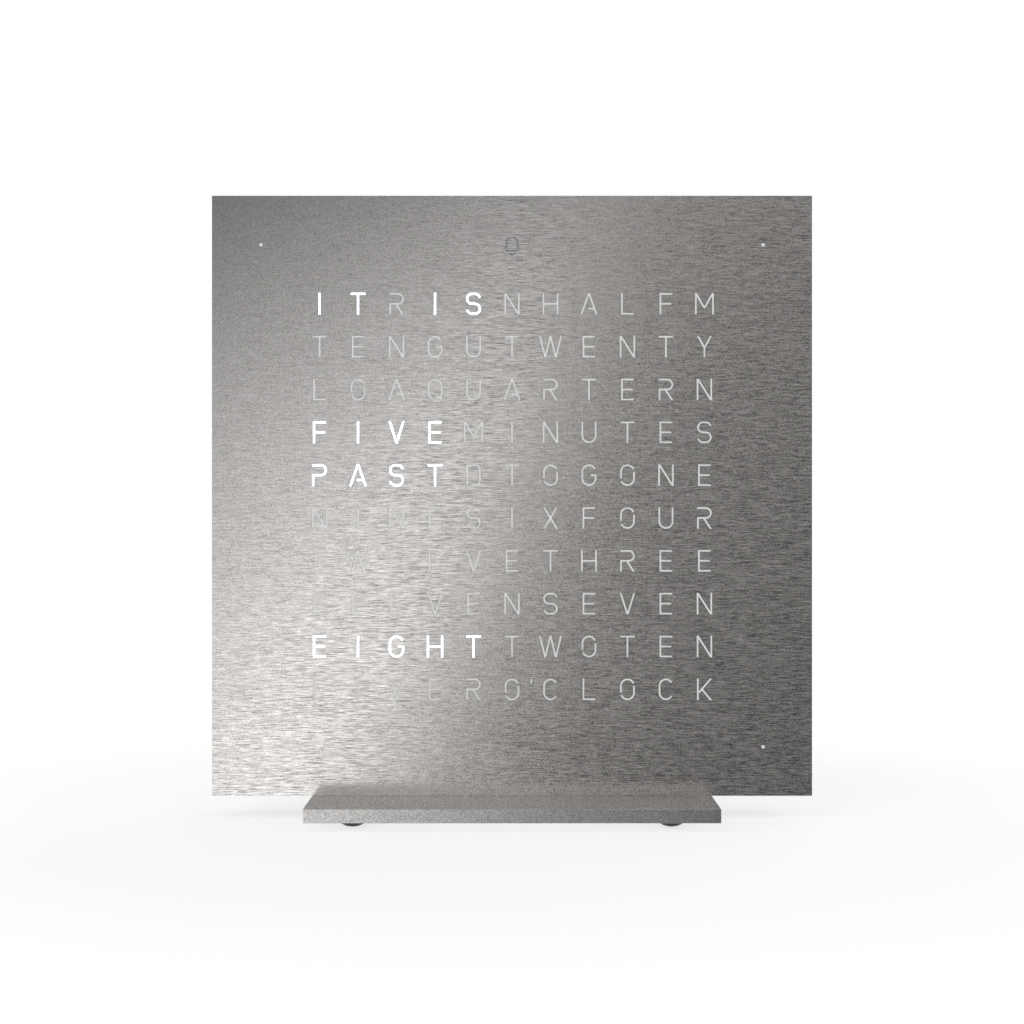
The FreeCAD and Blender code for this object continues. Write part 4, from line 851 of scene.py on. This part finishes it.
def shaded_screen(settings):
    """A screen in front of the clock, shaded from light at its lower left to dark at its
    right, which only shows in the steel.

    Its tone, at u and v in half widths of the letter plate as the camera sees them
    mirrored, is a dark ground, which is an exponential of u and v and rises to the upper
    left, plus a light part, which is bilinear in u and v and ends softly at the line of
    light_share.  The light is a trace cooler where it isn't at its brightest.
    """
    paper = Tree(bpy.data.materials.new("studio_screen"))
    across, _, up = paper.axes()
    widening = 1.0 + settings.screen_distance / settings.camera_distance
    middle = settings.camera_height + widening * (PLATE_MIDDLE - settings.camera_height)
    u = (across / (widening * PLATE_HALF)).most(SCREEN_U[0]).least(SCREEN_U[1])
    v = ((up - middle) / (widening * PLATE_HALF)).most(SCREEN_V[0]).least(SCREEN_V[1])
    ground = (u * GROUND_ACROSS + v * GROUND_UP).exp() * GROUND_TONE
    rise = RISE_TONE - v * RISE_UP + u * RISE_ACROSS - u * v * RISE_TWIST
    light = light_share(u, v)
    tone = (ground + rise * light).most(LEAST_TONE)
    cool = light * tone.step(*COOL_TONES) * COOL_SHARE
    tone = tone * (settings.screen_strength / STEEL_SHARE)
    glow = paper.node("ShaderNodeEmission", inputs={
        "Color": paper.node("ShaderNodeCombineColor", inputs={
            0: tone * (1.0 - cool), 1: tone, 2: tone * (1.0 + cool),
        }),
        "Strength": 1.0,
    })
    clear = paper.node("ShaderNodeBsdfTransparent")
    border = abs(across).most(abs(up - middle)).step(*SCREEN_FADE)
    faded = paper.node("ShaderNodeMixShader", inputs={0: border, 1: glow, 2: clear})
    paper.node("ShaderNodeOutputMaterial", inputs={"Surface": faded})
    paper.owner.cycles.emission_sampling = "NONE"
    y = PLATE_LOW.y - settings.screen_distance
    bottom, top = middle - SCREEN_HALF, middle + SCREEN_HALF
    screen = stage_sheet("studio_screen", [
        (-SCREEN_HALF, y, bottom), (-SCREEN_HALF, y, top),
        (SCREEN_HALF, y, top), (SCREEN_HALF, y, bottom),
    ], paper.owner)
    screen.visible_camera = False
    screen.visible_diffuse = False
    screen.visible_transmission = False
    screen.visible_shadow = False


def surrounding_light(settings):
    """White all round for the camera, glass and metal, and grey light on matt surfaces."""
    world = bpy.data.worlds.new("studio_world")
    bpy.context.scene.world = world
    sky = Tree(world)
    path = sky.node("ShaderNodeLightPath").socket.node
    seen = Signal(sky, path.outputs["Is Camera Ray"])
    seen = seen.most(Signal(sky, path.outputs["Is Glossy Ray"]))
    seen = seen.most(Signal(sky, path.outputs["Is Transmission Ray"]))
    tone = sky.blend(seen, scaled(WHITE, settings.ambient), WHITE)
    background = sky.node("ShaderNodeBackground", inputs={"Color": tone, "Strength": 1.0})
    sky.node("ShaderNodeOutputWorld", inputs={"Surface": background})


def soft_lamp(name, place, power):
    """A square lamp that faces the middle of the clock."""
    lamp = bpy.data.lights.new(name, "AREA")
    lamp.size = LAMP_SIZE
    lamp.energy = power
    holder = bpy.data.objects.new(name, lamp)
    aim = Vector((0.0, 0.0, PLATE_MIDDLE)) - Vector(place)
    holder.location = place
    holder.rotation_euler = aim.to_track_quat("-Z", "Y").to_euler()
    holder.visible_camera = False
    holder.visible_glossy = False
    bpy.context.scene.collection.objects.link(holder)


def studio_camera(settings):
    """A level camera straight in front of the clock."""
    lens = bpy.data.cameras.new("studio_camera")
    lens.sensor_width = SENSOR_WIDTH
    lens.lens = settings.focal_length
    lens.clip_start = NEAREST_SEEN
    camera = bpy.data.objects.new("studio_camera", lens)
    camera.location = (0.0, PLATE_LOW.y - settings.camera_distance, settings.camera_height)
    camera.rotation_euler = (math.pi / 2, 0.0, 0.0)
    bpy.context.scene.collection.objects.link(camera)
    bpy.context.scene.camera = camera


class WORDCLOCK_OT_studio(bpy.types.Operator):
    """Set up the camera, the pale floor, the shaded screen and the soft light"""

    bl_idname = "wordclock.studio"
    bl_label = "Studio"

    def execute(self, context):
        settings = context.scene.wordclock_studio
        floor_sheet(settings)
        shaded_screen(settings)
        surrounding_light(settings)
        x, y, z = LAMP_PLACE
        soft_lamp("front_lamp", (-x, -y, z), settings.lamp_power)
        soft_lamp("rear_lamp", (x, y, z), settings.lamp_power)
        studio_camera(settings)
        context.scene.view_settings.view_transform = "Standard"
        return {"FINISHED"}


# ---------------------------------------------------------------- panel and registration
class WORDCLOCK_PT_panel(bpy.types.Panel):
    """Lists the clock's finishes and settings"""

    bl_idname = "WORDCLOCK_PT_panel"
    bl_label = "Word clock"
    bl_space_type = "VIEW_3D"
    bl_region_type = "UI"
    bl_category = "Word clock"

    def draw(self, context):
        for operator in OPERATORS:
            self.layout.operator(operator.bl_idname)
        for name in SETTINGS:
            box = self.layout.box()
            group = getattr(context.scene, name)
            for setting in group.__annotations__:
                box.prop(group, setting)


OPERATORS = (
    WORDCLOCK_OT_steel_plates,
    WORDCLOCK_OT_letters,
    WORDCLOCK_OT_light_box,
    WORDCLOCK_OT_electronics,
    WORDCLOCK_OT_housing,
    WORDCLOCK_OT_stand,
    WORDCLOCK_OT_studio,
)
SETTINGS = {
    "wordclock_steel": SteelSettings,
    "wordclock_letters": LetterSettings,
    "wordclock_housing": HousingSettings,
    "wordclock_stand": StandSettings,
    "wordclock_studio": StudioSettings,
}


def register():
    for name, group in SETTINGS.items():
        bpy.utils.register_class(group)
        setattr(bpy.types.Scene, name, bpy.props.PointerProperty(type=group))
    for each in (*OPERATORS, WORDCLOCK_PT_panel):
        bpy.utils.register_class(each)


def unregister():
    for each in reversed((*OPERATORS, WORDCLOCK_PT_panel)):
        bpy.utils.unregister_class(each)
    for name, group in SETTINGS.items():
        delattr(bpy.types.Scene, name)
        bpy.utils.unregister_class(group)


def main():
    register()
    bpy.ops.wordclock.steel_plates()
    bpy.ops.wordclock.letters()
    bpy.ops.wordclock.light_box()
    bpy.ops.wordclock.electronics()
    bpy.ops.wordclock.housing()
    bpy.ops.wordclock.stand()
    bpy.ops.wordclock.studio()


if __name__ == "__main__":
    main()
